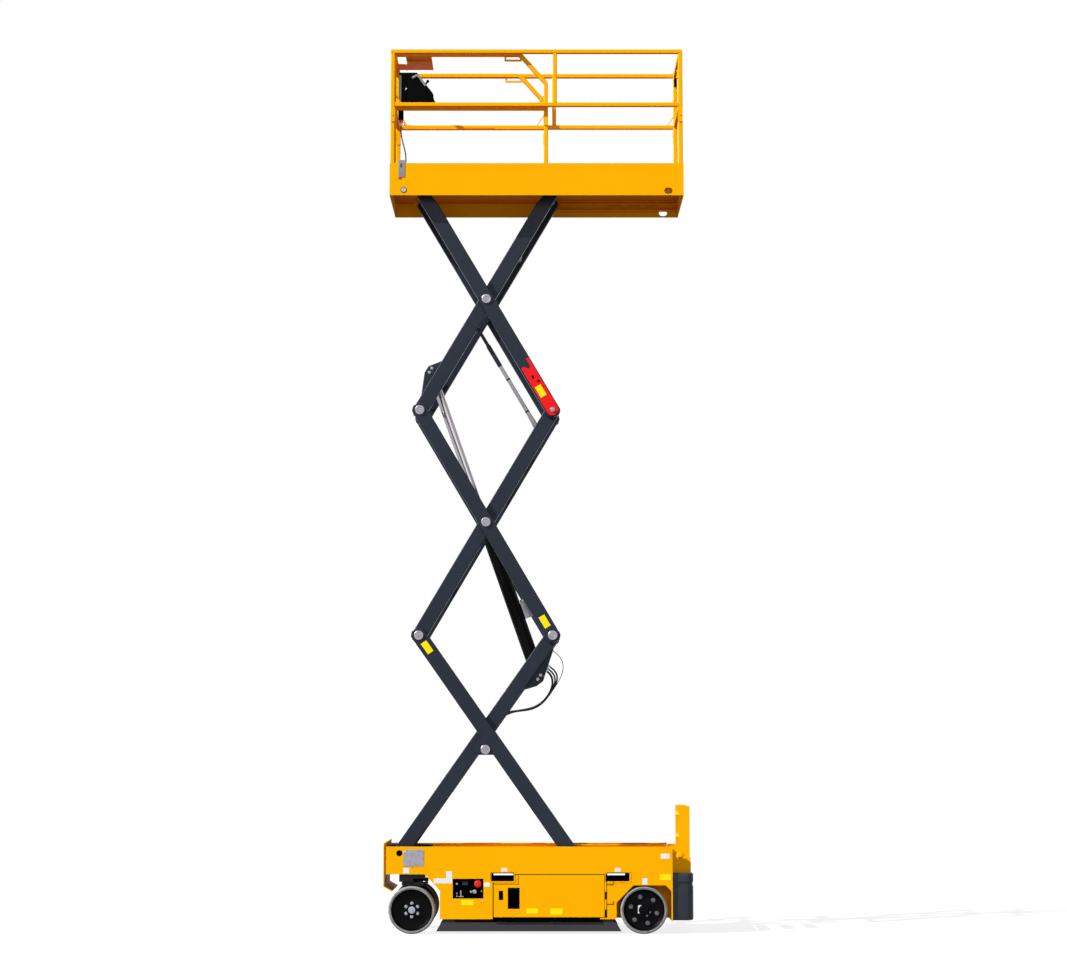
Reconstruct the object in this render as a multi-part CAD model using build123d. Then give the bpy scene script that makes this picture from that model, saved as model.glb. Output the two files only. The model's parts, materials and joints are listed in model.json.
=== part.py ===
from build123d import *
import os
from math import cos, sin, tan, atan2, hypot, pi, radians, degrees

# Self-propelled scissor lift with three stages of arms, drawn raised.  Millimetres and degrees.
# +X runs from the steered wheels to the ladder, +Y to the far side, +Z up.
# The origin lies on the floor under the middle of the machine.

# ---- overall
HALF_WIDTH = 405.0          # outer faces of the side plates and tyres
SHEET = 6.0                 # folded sheet of chassis and platform
GAP = 5.0                   # clearance between pieces that move past each other
PIN_GAP = 0.5               # radial clearance of a pin in its bore
SEAT_GAP = 0.3              # clearance between pieces that seat on each other

# ---- scissor linkage
FOOT_X = -1116.0            # fixed foot pivot of the first inner arm
FOOT_Z = 642.0
ARM_HALF = 1075.0           # centre pivot to end pivot
RAISED_ANGLE = 59.5         # slope of every half arm above the first centre pivot
DROP_ANGLE = 4.6            # the first pair's centre pivots hang below their tubes by this angle
STAGES = 3
TUBE_DEPTH = 118.0
TUBE_WIDTH = 50.0
TUBE_WALL = 4.0
TUBE_OVERHANG = 58.0        # tube beyond an end pivot
TUBE_CHAMFER = 30.0
INNER_Y = HALF_WIDTH - 210  # inner arms' inner face
BOSS_R = 42.0
PIN_R = 25.0
HEAD_R = 38.0
HEAD_T = 12.0
HEAD_ROOM = 3.0             # between the pin heads and the brackets
CROSS_R = 38.0              # tubes that join an inner arm's two sides
TIP_R = 34.0                # slim ends under the deck
TIP_LENGTH = 175.0
ROLLER_R = 32.0
ROLLER_WIDTH = 32.0
BRACKET_T = 22.0            # plates that hold the fixed pivots
LUG_CORNER = 12.0
LUG_REACH = 85.0            # first pair's centre lugs beyond their pivot
LUG_ALONG = (-77.0, 6.0, 57.0, 107.0)   # corners of such a lug, along the arm from its pivot
TRACK_SHEET = 6.0

# ---- lift cylinder
EYE_ALONG = 340.0           # eye pivots along the tubes from the nearest end pivot
LOWER_EYE_OFF = 103.0       # and square to them
UPPER_EYE_OFF = 95.0
EYE_PIN_R = 28.0
EYE_R = 42.0
EYE_WIDTH = 80.0
BARREL_R = 57.0
BARREL_BORE = 46.0
BARREL_LENGTH = 1440.0      # lower eye to gland face
GLAND_R = 64.0
GLAND_LENGTH = 45.0
ROD_R = 35.0
ROD_LENGTH = 1480.0         # upper eye to the end inside the barrel
EYE_PLATE_T = 12.0
VALVE_ALONG = 490.0         # valve block from the lower eye
VALVE_LENGTH = 150.0
STUB_GAP = 8.0              # between the rod's eye and the stub pins beside it
CROSS_A1 = (-750.0, -300.0) # cross tubes, from the middle of their arm
CROSS_A2 = (-600.0, 600.0)
CROSS_A3 = (500.0,)

# ---- hose link between the second and third inner arms
LINK_ALONG = 202.0
LINK_Y = INNER_Y - 23
LINK_T = 20.0
LINK_WIDTH = 26.0
LINK_PIN_R = 9.0

# ---- maintenance prop
PROP_LENGTH = 474.0         # pivot to the tip of the long prong
PROP_WIDTH = 98.0
PROP_T = 10.0
PROP_SHORT = 424.0          # tip of the short prong
PROP_SEAT = (410.0, -7.0)   # middle of the notch that sits on a pin
PROP_SEAT_R = 17.0
PROP_MOUTH = 24.0           # the notch opens from its seat towards the tips by this much

# ---- chassis
CHASSIS_X0 = -1224.0
CHASSIS_X1 = 1075.0
PLATE_TOP = 694.0
LIP = 14.0                  # inward fold along the side plates' top
NOSE_BOTTOM = 474.0
NOSE_X = -912.0             # start of the slope behind the front wheels
NOSE_END_X = -790.0
SLOPE_BOTTOM = 344.0
BELLY_Z = 119.0
TRAY_Z = 500.0              # top of the floor that the arms fold down to
REAR_WALL_TOP = 560.0
REAR_WALL_BOTTOM = 100.0
ARCH_X0 = 625.0
ARCH_X1 = 1064.0
ARCH_RISE_Z = 249.0
ARCH_TOP_X0 = 761.0
ARCH_TOP_X1 = 1017.0
ARCH_TOP_Z = 387.0
MID_WALL_Y = 150.0          # walls between the battery bays
LINER_T = 4.0
TRACK_X0 = 180.0
WELL_X0 = 380.0             # opening in the floor for the hoses below the folded arms
WELL_X1 = 900.0
WELL_Y = MID_WALL_Y - 4

# ---- wheels
WHEEL_R = 190.0
TYRE_WIDTH = 130.0
TYRE_INNER_R = 165.0
FRONT_X = -1015.0
REAR_X = 845.0
AXLE_R = 22.0
RIM_SHEET = 8.0
RIM_HUB_R = 46.0
WHEEL_INNER = HALF_WIDTH - TYRE_WIDTH
REAR_HUB_R = 70.0
REAR_HUB_LENGTH = 24.0
REAR_WALL_Y = WHEEL_INNER - GAP - REAR_HUB_LENGTH - SHEET   # inner walls of the rear wheel arches
AXLE_END = 32.0             # an axle's end inside the wheel's outer face

# ---- steering
KINGPIN_Y = HALF_WIDTH - 80.0
KINGPIN_R = 15.0
KNUCKLE_TOP = 410.0
KNUCKLE_HALF = 82.0
LEG_T = 28.0
LEG_HALF = 60.0
MOTOR_R = 62.0              # hub motors behind the front wheels
MOTOR_LENGTH = 60.0
STEER_ARM = 115.0           # long enough for the tie rod to pass the kingpins at full lock
TIE_ROD_R = 9.0
TIE_ROD_EYE_R = 15.0
TIE_ROD_EYE_HALF = 11.0
TIE_PIN_R = 7.0
TIE_ROD_Z = KNUCKLE_TOP + 3.0 + TIE_ROD_EYE_HALF
BEAM_Z = TIE_ROD_Z + TIE_ROD_EYE_HALF + 8.0
BEAM_HALF = 102.0
BEAM_WEB_HALF = 60.0
BEAM_INNER_Y = KINGPIN_Y - 90.0
BEAM_OUTER_Y = HALF_WIDTH - SHEET - 4.0

# ---- bays, doors and control panel
DOOR_X0 = -359.0
DOOR_X1 = 533.0
DOOR_Z0 = 135.0
DOOR_Z1 = 470.0
NOTCH_X = -186.0
NOTCH_Z = 407.0
VENT = (-246.0, -151.0, 200.0, 368.0)       # openings in the doors: X, X, Z, Z
LATCH = (-318.0, -283.0, 270.0, 344.0)
HINGE_X = 540.0
HINGE_R = 6.5
HINGE_HALF = 25.0
HINGE_ZS = (235.0, 375.0)
BATTERY_LENGTH = 540.0
BATTERY_WIDTH = 180.0
BATTERY_HEIGHT = 270.0
POCKETS_X = (-287.5, 638.0) # centres of the fork pockets
POCKET_WIDTH = 182.0
POCKET_Z0 = 419.0
POCKET_Z1 = 486.0
POCKET_WALL = 5.0
PANEL_X0 = -687.0
PANEL_X1 = -441.0
PANEL_Z0 = 282.0
PANEL_Z1 = 439.0
PANEL_DEPTH = 27.0
STOP_X = -485.0
STOP_Z = 398.0
STOP_R = 30.0

# ---- pothole guards
GUARD_X0 = -820.0
GUARD_X1 = 665.0
GUARD_SLANT = 42.0
GUARD_BOTTOM = 22.0
GUARD_T = 8.0
GUARD_HINGE_Y = HALF_WIDTH - 16.0
GUARD_HINGE_Z = 106.0
GUARD_PIN_R = 4.0
GUARD_DROP = 14.0           # bar's top below its hinge
GUARD_LUGS = 4
GUARD_LUG_T = 10.0
GUARD_LUG_HALF = 8.5

# ---- ladder end
COVER_X1 = 1245.0
COVER_Y = HALF_WIDTH - 20.0
COVER_Z0 = 107.0
COVER_Z1 = 484.0
COVER_T = 5.0
LADDER_X0 = 1137.0
LADDER_X1 = 1226.0
LADDER_Y = 219.0            # stiles
LADDER_TOP = 1014.0
STEP_ZS = (600.0, 780.0, 960.0)
STEP_T = 24.0
LUG_Y = HALF_WIDTH - 75.0
LUG_TOP = 688.0
LUG_X = 1141.0
LUG_Z = 623.0
LUG_HOLE_R = 33.0

# ---- front end
BUMPER_X = -1245.0
BUMPER_TOP = 728.0
BUMPER_BEND_Z = 376.0
BUMPER_TIP_X = -1176.0
BUMPER_TIP_Z = 335.0
BUMPER_T = 8.0
HOOD_X1 = -871.0
HOOD_Y = 188.0
HOOD_Z = 700.0
HOOD_DEPTH = 28.0

# ---- control box, its socket and its shield
BOX_X = -1160.0
BOX_WIDTH = 150.0
BOX_OUTLINE = ((0, 0), (304, 0), (304, 34), (288, 62), (288, 101), (189, 226), (149, 283), (0, 283))
BOX_HOLE = ((47, 120), (84, 174), (47, 201))
SOCKET_R = 22.0             # cable socket under the box
SOCKET_NECK = 50.0
SOCKET_X = (-1150.0, -1086.0)   # grey box at the cable's lower end
SOCKET_DEPTH = 45.0
SOCKET_HEIGHT = 150.0
SHIELD_X = (-1105.0, -890.0)
SHIELD_Y1 = 66.0
SHIELD_TAB_Y0 = -99.0
SHIELD_FOLD_Y = -192.0
SHIELD_T = 4.0
SHIELD_LIP = 12.0

# ---- cords: diameter, then the route
CONTROL_CABLE_D = 10.0
CONTROL_CABLE = (           # X, inwards from the extension's side, height over the main deck
    (-1145, 68, 494), (-1145, 68, 444), (-1137, 65, 390), (-1122, 58, 332), (-1107, 46, 272), (-1100, 35, 214),
    (-1100, 35, 162.3))
HOSES = {                   # along the first arm from its foot, off its tube, inwards from its inner face
    "hose_outer": (14.0, (
        (1927, -100, 74), (1927, -158, 74), (1908, -212, 73), (1862, -243, 72), (1798, -252, 72),
        (1722, -254, 72), (1650, -248, 73), (1590, -226, 74), (1538, -188, 75), (1494, -138, 76),
        (1448, -90, 76), (1394, -55, 76), (1334, -36, 76), (1270, -36, 76))),
    "hose_middle": (14.0, (
        (1905, -100, 92), (1905, -158, 92), (1880, -212, 92), (1830, -242, 91), (1764, -252, 91),
        (1692, -251, 91), (1624, -238, 92), (1564, -206, 93), (1516, -162, 94), (1474, -108, 94),
        (1432, -62, 94), (1382, -30, 94), (1326, -14, 94), (1270, -14, 94))),
    "hose_inner": (18.0, (
        (1884, -100, 112), (1884, -146, 112), (1866, -190, 112), (1830, -222, 112), (1780, -243, 112),
        (1720, -250, 112), (1654, -243, 112), (1594, -220, 112), (1536, -176, 112), (1486, -124, 112),
        (1440, -76, 112), (1388, -42, 112), (1330, -24, 112), (1270, -24, 112))),
    "sensor_cable": (6.0, (
        (2046, -72, 45), (2046, -112, 45), (2036, -156, 47), (2012, -196, 50), (1974, -226, 53),
        (1924, -246, 56), (1862, -254, 58), (1790, -257, 59), (1716, -256, 59), (1650, -247, 59),
        (1588, -224, 60), (1534, -182, 61), (1490, -130, 62), (1442, -80, 62), (1390, -46, 62),
        (1330, -30, 62), (1270, -30, 62))),
}
HOSE_PLATE = (1866.0, 1940.0)   # bulkhead at the hoses' upper ends, along the first arm
HOSE_PLATE_OFF = -100.0
HOSE_PLATE_T = 28.0
HOSE_CLIP = (1230.0, 1270.0)    # clip at their lower ends
HOSE_CLIP_OFF = (-56.0, 10.0)
HOSE_REACH = 123.0              # both reach in this far from the near tube
SENSOR_GLAND = (2034.0, 2058.0) # block that the thin cable comes out of
SENSOR_GLAND_OFF = (-72.0, -52.0)
SENSOR_REACH = 55.0

# ---- platform
PLATFORM_X0 = -1228.0
PLATFORM_X1 = 1200.0
DECK_ABOVE_PIN = 46.0       # main deck's top over the top pivots
SIDE_DROP = 80.0            # side plates reach this far below the top pivots
TOE_HEIGHT = 144.0          # side plates' top over the main deck
RAIL = 34.0                 # square rail tube
RAIL_TOP = 1120.0           # top rail's top over the main deck
MID_RAIL_TOP = 668.0
RAIL_Y = HALF_WIDTH - 69.0  # main rails' inner face
POST_X = 138.0              # centre of the short middle posts
EXT_Y = RAIL_Y - 6.0        # extension's outer face
EXT_LIFT = 6.0              # extension deck over the main deck
EXT_SHEET = 6.0
EXT_X1 = 81.0
SKID_Y = EXT_Y - 60.0       # wear strips that the extension slides on
SKID_WIDTH = 30.0
EXT_RAIL_DROP = 10.0        # extension's top rail below the main one
EXT_MID_DROP = 17.0
EXT_BEND_X = 218.0          # sloped run of its rails' free ends
EXT_BEND_Z = 247.0
HANDLE = (-282.0, -138.0)   # grips under its top rails
HANDLE_DROP = 41.0
HANDLE_T = 12.0
SLOT_X = 1073.0             # strap slot in the side plates
SLOT_DROP = 42.0            # its middle below the top pivots
SLOT_LENGTH = 69.0
SLOT_HEIGHT = 51.0
WEB_SLOTS = ((610.0, 720.0), (762.0, 873.0), (924.0, 1026.0))   # windows in the upper tracks
WEB_SLOT_DROP = 16.0        # their edges from the top pivots
WEB_SLOT_RISE = 18.0
TOE_NOTCH_X0 = -1190.0      # gap in the near toe board beside the socket
TOE_NOTCH_X1 = -1126.0
GATE_GAP = 16.0
GATE_T = 30.0
GATE_PIN_R = 8.0


# ---------------------------------------------------------------- helpers
def block(x0, x1, y0, y1, z0, z1):
    return Pos((x0 + x1) / 2, (y0 + y1) / 2, (z0 + z1) / 2) * Box(x1 - x0, y1 - y0, z1 - z0)


def prism(points, y0, y1):
    """Solid of an X-Z outline between two Y planes."""
    outline = Polyline(*[(x, y0, z) for x, z in points], close=True)
    return extrude(make_face(outline), amount=y1 - y0, dir=(0, 1, 0))


def rod_y(x, z, r, y0, y1):
    return Pos(x, (y0 + y1) / 2, z) * Rot(90, 0, 0) * Cylinder(r, y1 - y0)


def rod_z(x, y, r, z0, z1):
    return Pos(x, y, (z0 + z1) / 2) * Cylinder(r, z1 - z0)


def both_sides(piece):
    return piece + mirror(piece, Plane.XZ)


def heading(angle):
    return cos(radians(angle)), sin(radians(angle))


def moved(point, angle, along, off=0.0):
    """Point reached from another: along a heading, then square to it on its left."""
    c, s = heading(angle)
    return point[0] + along * c - off * s, point[1] + along * s + off * c


def on_line(shape, point, angle):
    """Place a shape drawn along X so that it starts at an X-Z point and follows a heading."""
    return Pos(point[0], 0, point[1]) * Rot(0, -angle, 0) * shape


# ---------------------------------------------------------------- linkage at rest
FOOT = (FOOT_X, FOOT_Z)
LOWER_ANGLE = RAISED_ANGLE - 2 * DROP_ANGLE
STAGE_RISE = 2 * ARM_HALF * sin(radians(RAISED_ANGLE))
CENTRES = [moved(FOOT, LOWER_ANGLE, ARM_HALF)]
for stage in range(1, STAGES):
    CENTRES.append((CENTRES[0][0], CENTRES[0][1] + stage * STAGE_RISE))
LEFTS = [moved(c, 180 - RAISED_ANGLE, ARM_HALF) for c in CENTRES]
RIGHTS = [moved(c, RAISED_ANGLE, ARM_HALF) for c in CENTRES]
ROLLER_FOOT = (2 * CENTRES[0][0] - FOOT_X, FOOT_Z)
FIRST_LENGTH = 2 * ARM_HALF * cos(radians(DROP_ANGLE))
FIRST_ANGLE = RAISED_ANGLE - DROP_ANGLE
CENTRE_DROP = ARM_HALF * sin(radians(DROP_ANGLE))
TOP_PIN_Z = LEFTS[-1][1]

OUTER_Y = INNER_Y + TUBE_WIDTH + GAP
OUTER_FACE = OUTER_Y + TUBE_WIDTH
BRACKET_Y = OUTER_FACE + HEAD_T + HEAD_ROOM
TRACK_DEPTH = ROLLER_WIDTH + 2 * GAP

LOWER_EYE = moved(RIGHTS[0], FIRST_ANGLE, -EYE_ALONG, -LOWER_EYE_OFF)
UPPER_EYE = moved(LEFTS[1], RAISED_ANGLE, EYE_ALONG, UPPER_EYE_OFF)
CYLINDER_ANGLE = degrees(atan2(UPPER_EYE[1] - LOWER_EYE[1], UPPER_EYE[0] - LOWER_EYE[0]))
CYLINDER_LENGTH = hypot(UPPER_EYE[1] - LOWER_EYE[1], UPPER_EYE[0] - LOWER_EYE[0])

DECK_TOP = TOP_PIN_Z + DECK_ABOVE_PIN
EXT_DECK_Z = DECK_TOP + EXT_LIFT


# ---------------------------------------------------------------- arms
def arm_outline(length, low_slim, high_slim, slim_side):
    """Side view of an arm's tube, along X from its lower to its upper pivot.
    A slim end tapers on the side that the deck comes down to."""
    h = TUBE_DEPTH / 2
    c = TUBE_CHAMFER
    over = TUBE_OVERHANG
    s = slim_side
    points = [(-over, -s * (h - c)), (-over, s * (h - c)), (-over + c, s * h)]
    if high_slim:
        points += [(length - TIP_LENGTH, s * h), (length, s * TIP_R), (length + TIP_R, s * TIP_R * 0.4)]
        points += [(length + TIP_R, -s * TIP_R), (length + TIP_R * 0.4, -s * h)]
    else:
        points += [(length + over - c, s * h), (length + over, s * (h - c))]
        points += [(length + over, -s * (h - c)), (length + over - c, -s * h)]
    points.append((-over + c, -s * h))
    return points


def arm_tube(length, y_inner, bores, slim_side=0, centre_off=0.0, centre=None):
    """One side's hollow tube with pivot sleeves.  bores names the X of each open bore."""
    h = TUBE_DEPTH / 2
    slim = slim_side != 0
    side = slim_side if slim else 1
    y0, y1 = y_inner, y_inner + TUBE_WIDTH
    tube = prism(arm_outline(length, False, slim, side), y0, y1)
    core_end = length - TIP_LENGTH - BOSS_R if slim else length + TUBE_OVERHANG + 1
    core = block(-TUBE_OVERHANG - 1, core_end, y0 + TUBE_WALL, y1 - TUBE_WALL,
                 -h + TUBE_WALL, h - TUBE_WALL)
    tube -= core
    middle = length / 2 if centre is None else centre
    if centre_off:
        side_of = 1 if centre_off > 0 else -1
        root = side_of * (h - TUBE_WALL)
        reach = centre_off + side_of * LUG_REACH
        offs = (root, reach, reach, root)
        lug = prism([(middle + x, off) for x, off in zip(LUG_ALONG, offs)], y0, y1)
        tube += fillet(lug.edges().filter_by(Axis.Y).group_by(Axis.Z)[-1 if centre_off > 0 else 0], LUG_CORNER)
    for x, z in ((0, 0), (middle, centre_off), (length, 0)):
        r = TIP_R if slim and x == length else BOSS_R
        tube += rod_y(x, z, r, y0, y1)
    for x, z in bores:
        tube -= rod_y(x, z, PIN_R + PIN_GAP, y0 - 1, y1 + 1)
    return tube


def shaft(x, z, y_end, head=False):
    bar = rod_y(x, z, PIN_R, -y_end, y_end)
    if head:
        bar += both_sides(rod_y(x, z, HEAD_R, y_end, y_end + HEAD_T))
    return bar


def inner_arm(length, centre_off, lower_shaft, upper_shaft, slim_side, crosses):
    """Two inner tubes, their centre stub pins and the tubes that join them."""
    middle = length / 2
    bores = []
    if not lower_shaft:
        bores.append((0, 0))
    if not upper_shaft:
        bores.append((length, 0))
    arm = both_sides(arm_tube(length, INNER_Y, bores, slim_side, centre_off))
    stub_end = OUTER_FACE + PIN_GAP
    stub = rod_y(middle, centre_off, PIN_R, INNER_Y + TUBE_WIDTH / 2, stub_end)
    stub += rod_y(middle, centre_off, HEAD_R, stub_end, stub_end + HEAD_T - 2 * PIN_GAP)
    arm += both_sides(stub)
    for x in crosses:
        arm += rod_y(x, 0, CROSS_R, -INNER_Y - TUBE_WALL, INNER_Y + TUBE_WALL)
    return arm


def roller_axle(x):
    axle = rod_y(x, 0, PIN_R, -BRACKET_Y - GAP, BRACKET_Y + GAP)
    return axle + both_sides(rod_y(x, 0, ROLLER_R, BRACKET_Y, BRACKET_Y + ROLLER_WIDTH))


def outer_arm(length, centre_off, slim_side):
    """Two outer tubes, bored for the inner arms' centre pins."""
    return both_sides(arm_tube(length, OUTER_Y, [(length / 2, centre_off)], slim_side, centre_off))


def arm_a1():
    length = FIRST_LENGTH
    arm = inner_arm(length, -CENTRE_DROP, True, False, 0, [length / 2 + x for x in CROSS_A1])
    arm += shaft(0, 0, BRACKET_Y + BRACKET_T)
    eye_x = length - EYE_ALONG
    h = TUBE_DEPTH / 2 - TUBE_WALL
    reach = LOWER_EYE_OFF + EYE_R
    plate = prism([(length - BOSS_R, -h), (eye_x, -reach), (eye_x - 1.5 * EYE_R, -reach + EYE_R / 2),
                   (eye_x - 3.6 * EYE_R, -h), (eye_x - 3.6 * EYE_R, h), (length - 3 * BOSS_R, h)],
                  INNER_Y - EYE_PLATE_T, INNER_Y)
    arm += both_sides(plate)
    arm += rod_y(eye_x, -LOWER_EYE_OFF, EYE_PIN_R, -INNER_Y, INNER_Y)
    arm += block(HOSE_PLATE[0], HOSE_PLATE[1], -INNER_Y + EYE_PLATE_T - 1, -INNER_Y + HOSE_REACH,
                 HOSE_PLATE_OFF, HOSE_PLATE_OFF + HOSE_PLATE_T)
    arm += block(HOSE_CLIP[0], HOSE_CLIP[1], -INNER_Y - 1, -INNER_Y + HOSE_REACH, HOSE_CLIP_OFF[0], HOSE_CLIP_OFF[1])
    arm += block(SENSOR_GLAND[0], SENSOR_GLAND[1], -INNER_Y + EYE_PLATE_T - 1, -INNER_Y + SENSOR_REACH,
                 SENSOR_GLAND_OFF[0], SENSOR_GLAND_OFF[1])
    for pivot_y in (-1, 1):
        arm -= rod_y(length, 0, PIN_R + PIN_GAP, *sorted((pivot_y * (INNER_Y - 40), pivot_y * (INNER_Y + 90))))
    return on_line(arm, FOOT, FIRST_ANGLE)


def arm_b1():
    length = FIRST_LENGTH
    arm = outer_arm(length, CENTRE_DROP, 0)
    arm += roller_axle(0) + shaft(length, 0, OUTER_FACE, True)
    return on_line(arm, ROLLER_FOOT, 180 - FIRST_ANGLE)


def arm_a2():
    length = 2 * ARM_HALF
    arm = inner_arm(length, 0, False, False, 0, [ARM_HALF + x for x in CROSS_A2])
    arm += link_pin(length - LINK_ALONG)
    return on_line(arm, LEFTS[0], RAISED_ANGLE)


def arm_b2():
    length = 2 * ARM_HALF
    arm = outer_arm(length, 0, 0)
    arm += shaft(0, 0, OUTER_FACE, True) + shaft(length, 0, OUTER_FACE, True)
    return on_line(arm, RIGHTS[0], 180 - RAISED_ANGLE)


def arm_a3():
    length = 2 * ARM_HALF
    arm = inner_arm(length, 0, False, True, 1, [ARM_HALF + x for x in CROSS_A3])
    arm += roller_axle(length)
    arm += link_pin(ARM_HALF - LINK_ALONG)
    h = TUBE_DEPTH / 2 - TUBE_WALL
    reach = UPPER_EYE_OFF + EYE_R
    plate = prism([(EYE_R * 2.4, h), (EYE_ALONG - EYE_R, reach), (EYE_ALONG + EYE_R / 2, reach),
                   (EYE_ALONG + 3 * EYE_R, h), (EYE_ALONG + 3 * EYE_R, -h), (EYE_R * 2.4, -h)],
                  INNER_Y - EYE_PLATE_T, INNER_Y)
    stub = rod_y(EYE_ALONG, UPPER_EYE_OFF, EYE_PIN_R, EYE_WIDTH / 2 + STUB_GAP, INNER_Y)
    arm += both_sides(plate + stub)
    return on_line(arm, LEFTS[1], RAISED_ANGLE)


def arm_b3():
    length = 2 * ARM_HALF
    arm = outer_arm(length, 0, -1)
    arm += shaft(0, 0, OUTER_FACE, True) + shaft(length, 0, BRACKET_Y + BRACKET_T)
    arm += rod_y(0, 0, PIN_R * 0.6, -OUTER_FACE - HEAD_T - PROP_T - 3, -OUTER_FACE)
    return on_line(arm, RIGHTS[1], 180 - RAISED_ANGLE)


def link_pin(x):
    return rod_y(x, 0, LINK_PIN_R, -INNER_Y - TUBE_WALL, -LINK_Y + LINK_T + 3)


def hose_link():
    """Flat bar beside the inner arms that stays parallel to the outer arms."""
    low = moved(RIGHTS[1], RAISED_ANGLE, -LINK_ALONG)
    y0, y1 = -LINK_Y, -LINK_Y + LINK_T
    bar = block(0, ARM_HALF, y0, y1, -LINK_WIDTH / 2, LINK_WIDTH / 2)
    for x in (0, ARM_HALF):
        bar += rod_y(x, 0, LINK_WIDTH * 0.7, y0, y1)
    for x in (0, ARM_HALF):
        bar -= rod_y(x, 0, LINK_PIN_R + PIN_GAP, y0 - 1, y1 + 1)
    return on_line(bar, low, 180 - RAISED_ANGLE)


def maintenance_prop():
    """Swing-down strut with a rounded foot and a two-pronged notch at its free end."""
    y1 = -OUTER_FACE - HEAD_T - 1
    y0 = y1 - PROP_T
    w = PROP_WIDTH / 2
    seat_x, seat_z = PROP_SEAT
    plate = rod_y(0, 0, w, y0, y1)
    plate += prism([(0, -w), (PROP_LENGTH - 4, -w), (PROP_LENGTH, -w / 2), (PROP_SHORT, w * 0.9),
                    (PROP_SHORT - 6, w), (0, w)], y0, y1)
    plate -= rod_y(0, 0, PIN_R * 0.6 + PIN_GAP, y0 - 1, y1 + 1)
    notch = rod_y(seat_x, seat_z, PROP_SEAT_R, y0 - 1, y1 + 1)
    notch += prism([(seat_x, seat_z - PROP_SEAT_R), (PROP_LENGTH + 9, -w / 2 - 2),
                    (PROP_LENGTH + 9, w), (PROP_SHORT + 9, w * 0.9 + 9), (PROP_SHORT - 2, w - PROP_MOUTH),
                    (seat_x, seat_z + PROP_SEAT_R)], y0 - 1, y1 + 1)
    return on_line(plate - notch, RIGHTS[1], 180 - RAISED_ANGLE)


# ---------------------------------------------------------------- cylinder
def rod_x(x0, x1, r):
    return Pos((x0 + x1) / 2, 0, 0) * Rot(0, 90, 0) * Cylinder(r, x1 - x0)


def cylinder_barrel():
    half = EYE_WIDTH / 2
    body = rod_x(EYE_R * 0.7, BARREL_LENGTH, BARREL_R)
    body += rod_x(BARREL_LENGTH - GLAND_LENGTH, BARREL_LENGTH, GLAND_R)
    body += rod_y(0, 0, EYE_R, -half, half)
    body -= rod_x(EYE_R * 1.6, BARREL_LENGTH - GLAND_LENGTH, BARREL_BORE)
    body -= rod_x(EYE_R * 1.6, BARREL_LENGTH + 1, ROD_R + PIN_GAP)
    body -= rod_y(0, 0, EYE_PIN_R + PIN_GAP, -half - 30, half + 30)
    return on_line(body, LOWER_EYE, CYLINDER_ANGLE)


def cylinder_rod():
    half = EYE_WIDTH / 2
    body = rod_x(CYLINDER_LENGTH - ROD_LENGTH, CYLINDER_LENGTH, ROD_R)
    body += rod_y(CYLINDER_LENGTH, 0, EYE_R, -half, half)
    body -= rod_y(CYLINDER_LENGTH, 0, EYE_PIN_R + PIN_GAP, -half - 1, half + 1)
    return on_line(body, LOWER_EYE, CYLINDER_ANGLE)


def valve_block():
    x0 = VALVE_ALONG
    x1 = x0 + VALVE_LENGTH
    body = block(x0, x1, -34, 34, -BARREL_R - 66, -BARREL_R - SEAT_GAP)
    body += block(x1 - 1, x1 + 30, -20, 20, -BARREL_R - 50, -BARREL_R - 14)
    body += Pos(x0 + 40, 0, -BARREL_R - 76) * Cylinder(15, 22)
    return on_line(body, LOWER_EYE, CYLINDER_ANGLE)


# ---------------------------------------------------------------- chassis
def pocket_box(x, grow, y_end):
    w = POCKET_WIDTH / 2 + grow
    return block(x - w, x + w, -y_end, y_end, POCKET_Z0 - grow, POCKET_Z1 + grow)


def door_outline(grow):
    x0, x1, z0, z1 = DOOR_X0 - grow, DOOR_X1 + grow, DOOR_Z0 - grow, DOOR_Z1 + grow
    return [(x0, z0), (x1, z0), (x1, z1), (NOTCH_X - grow, z1), (NOTCH_X - grow, NOTCH_Z + grow),
            (x0, NOTCH_Z + grow)]


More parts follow.
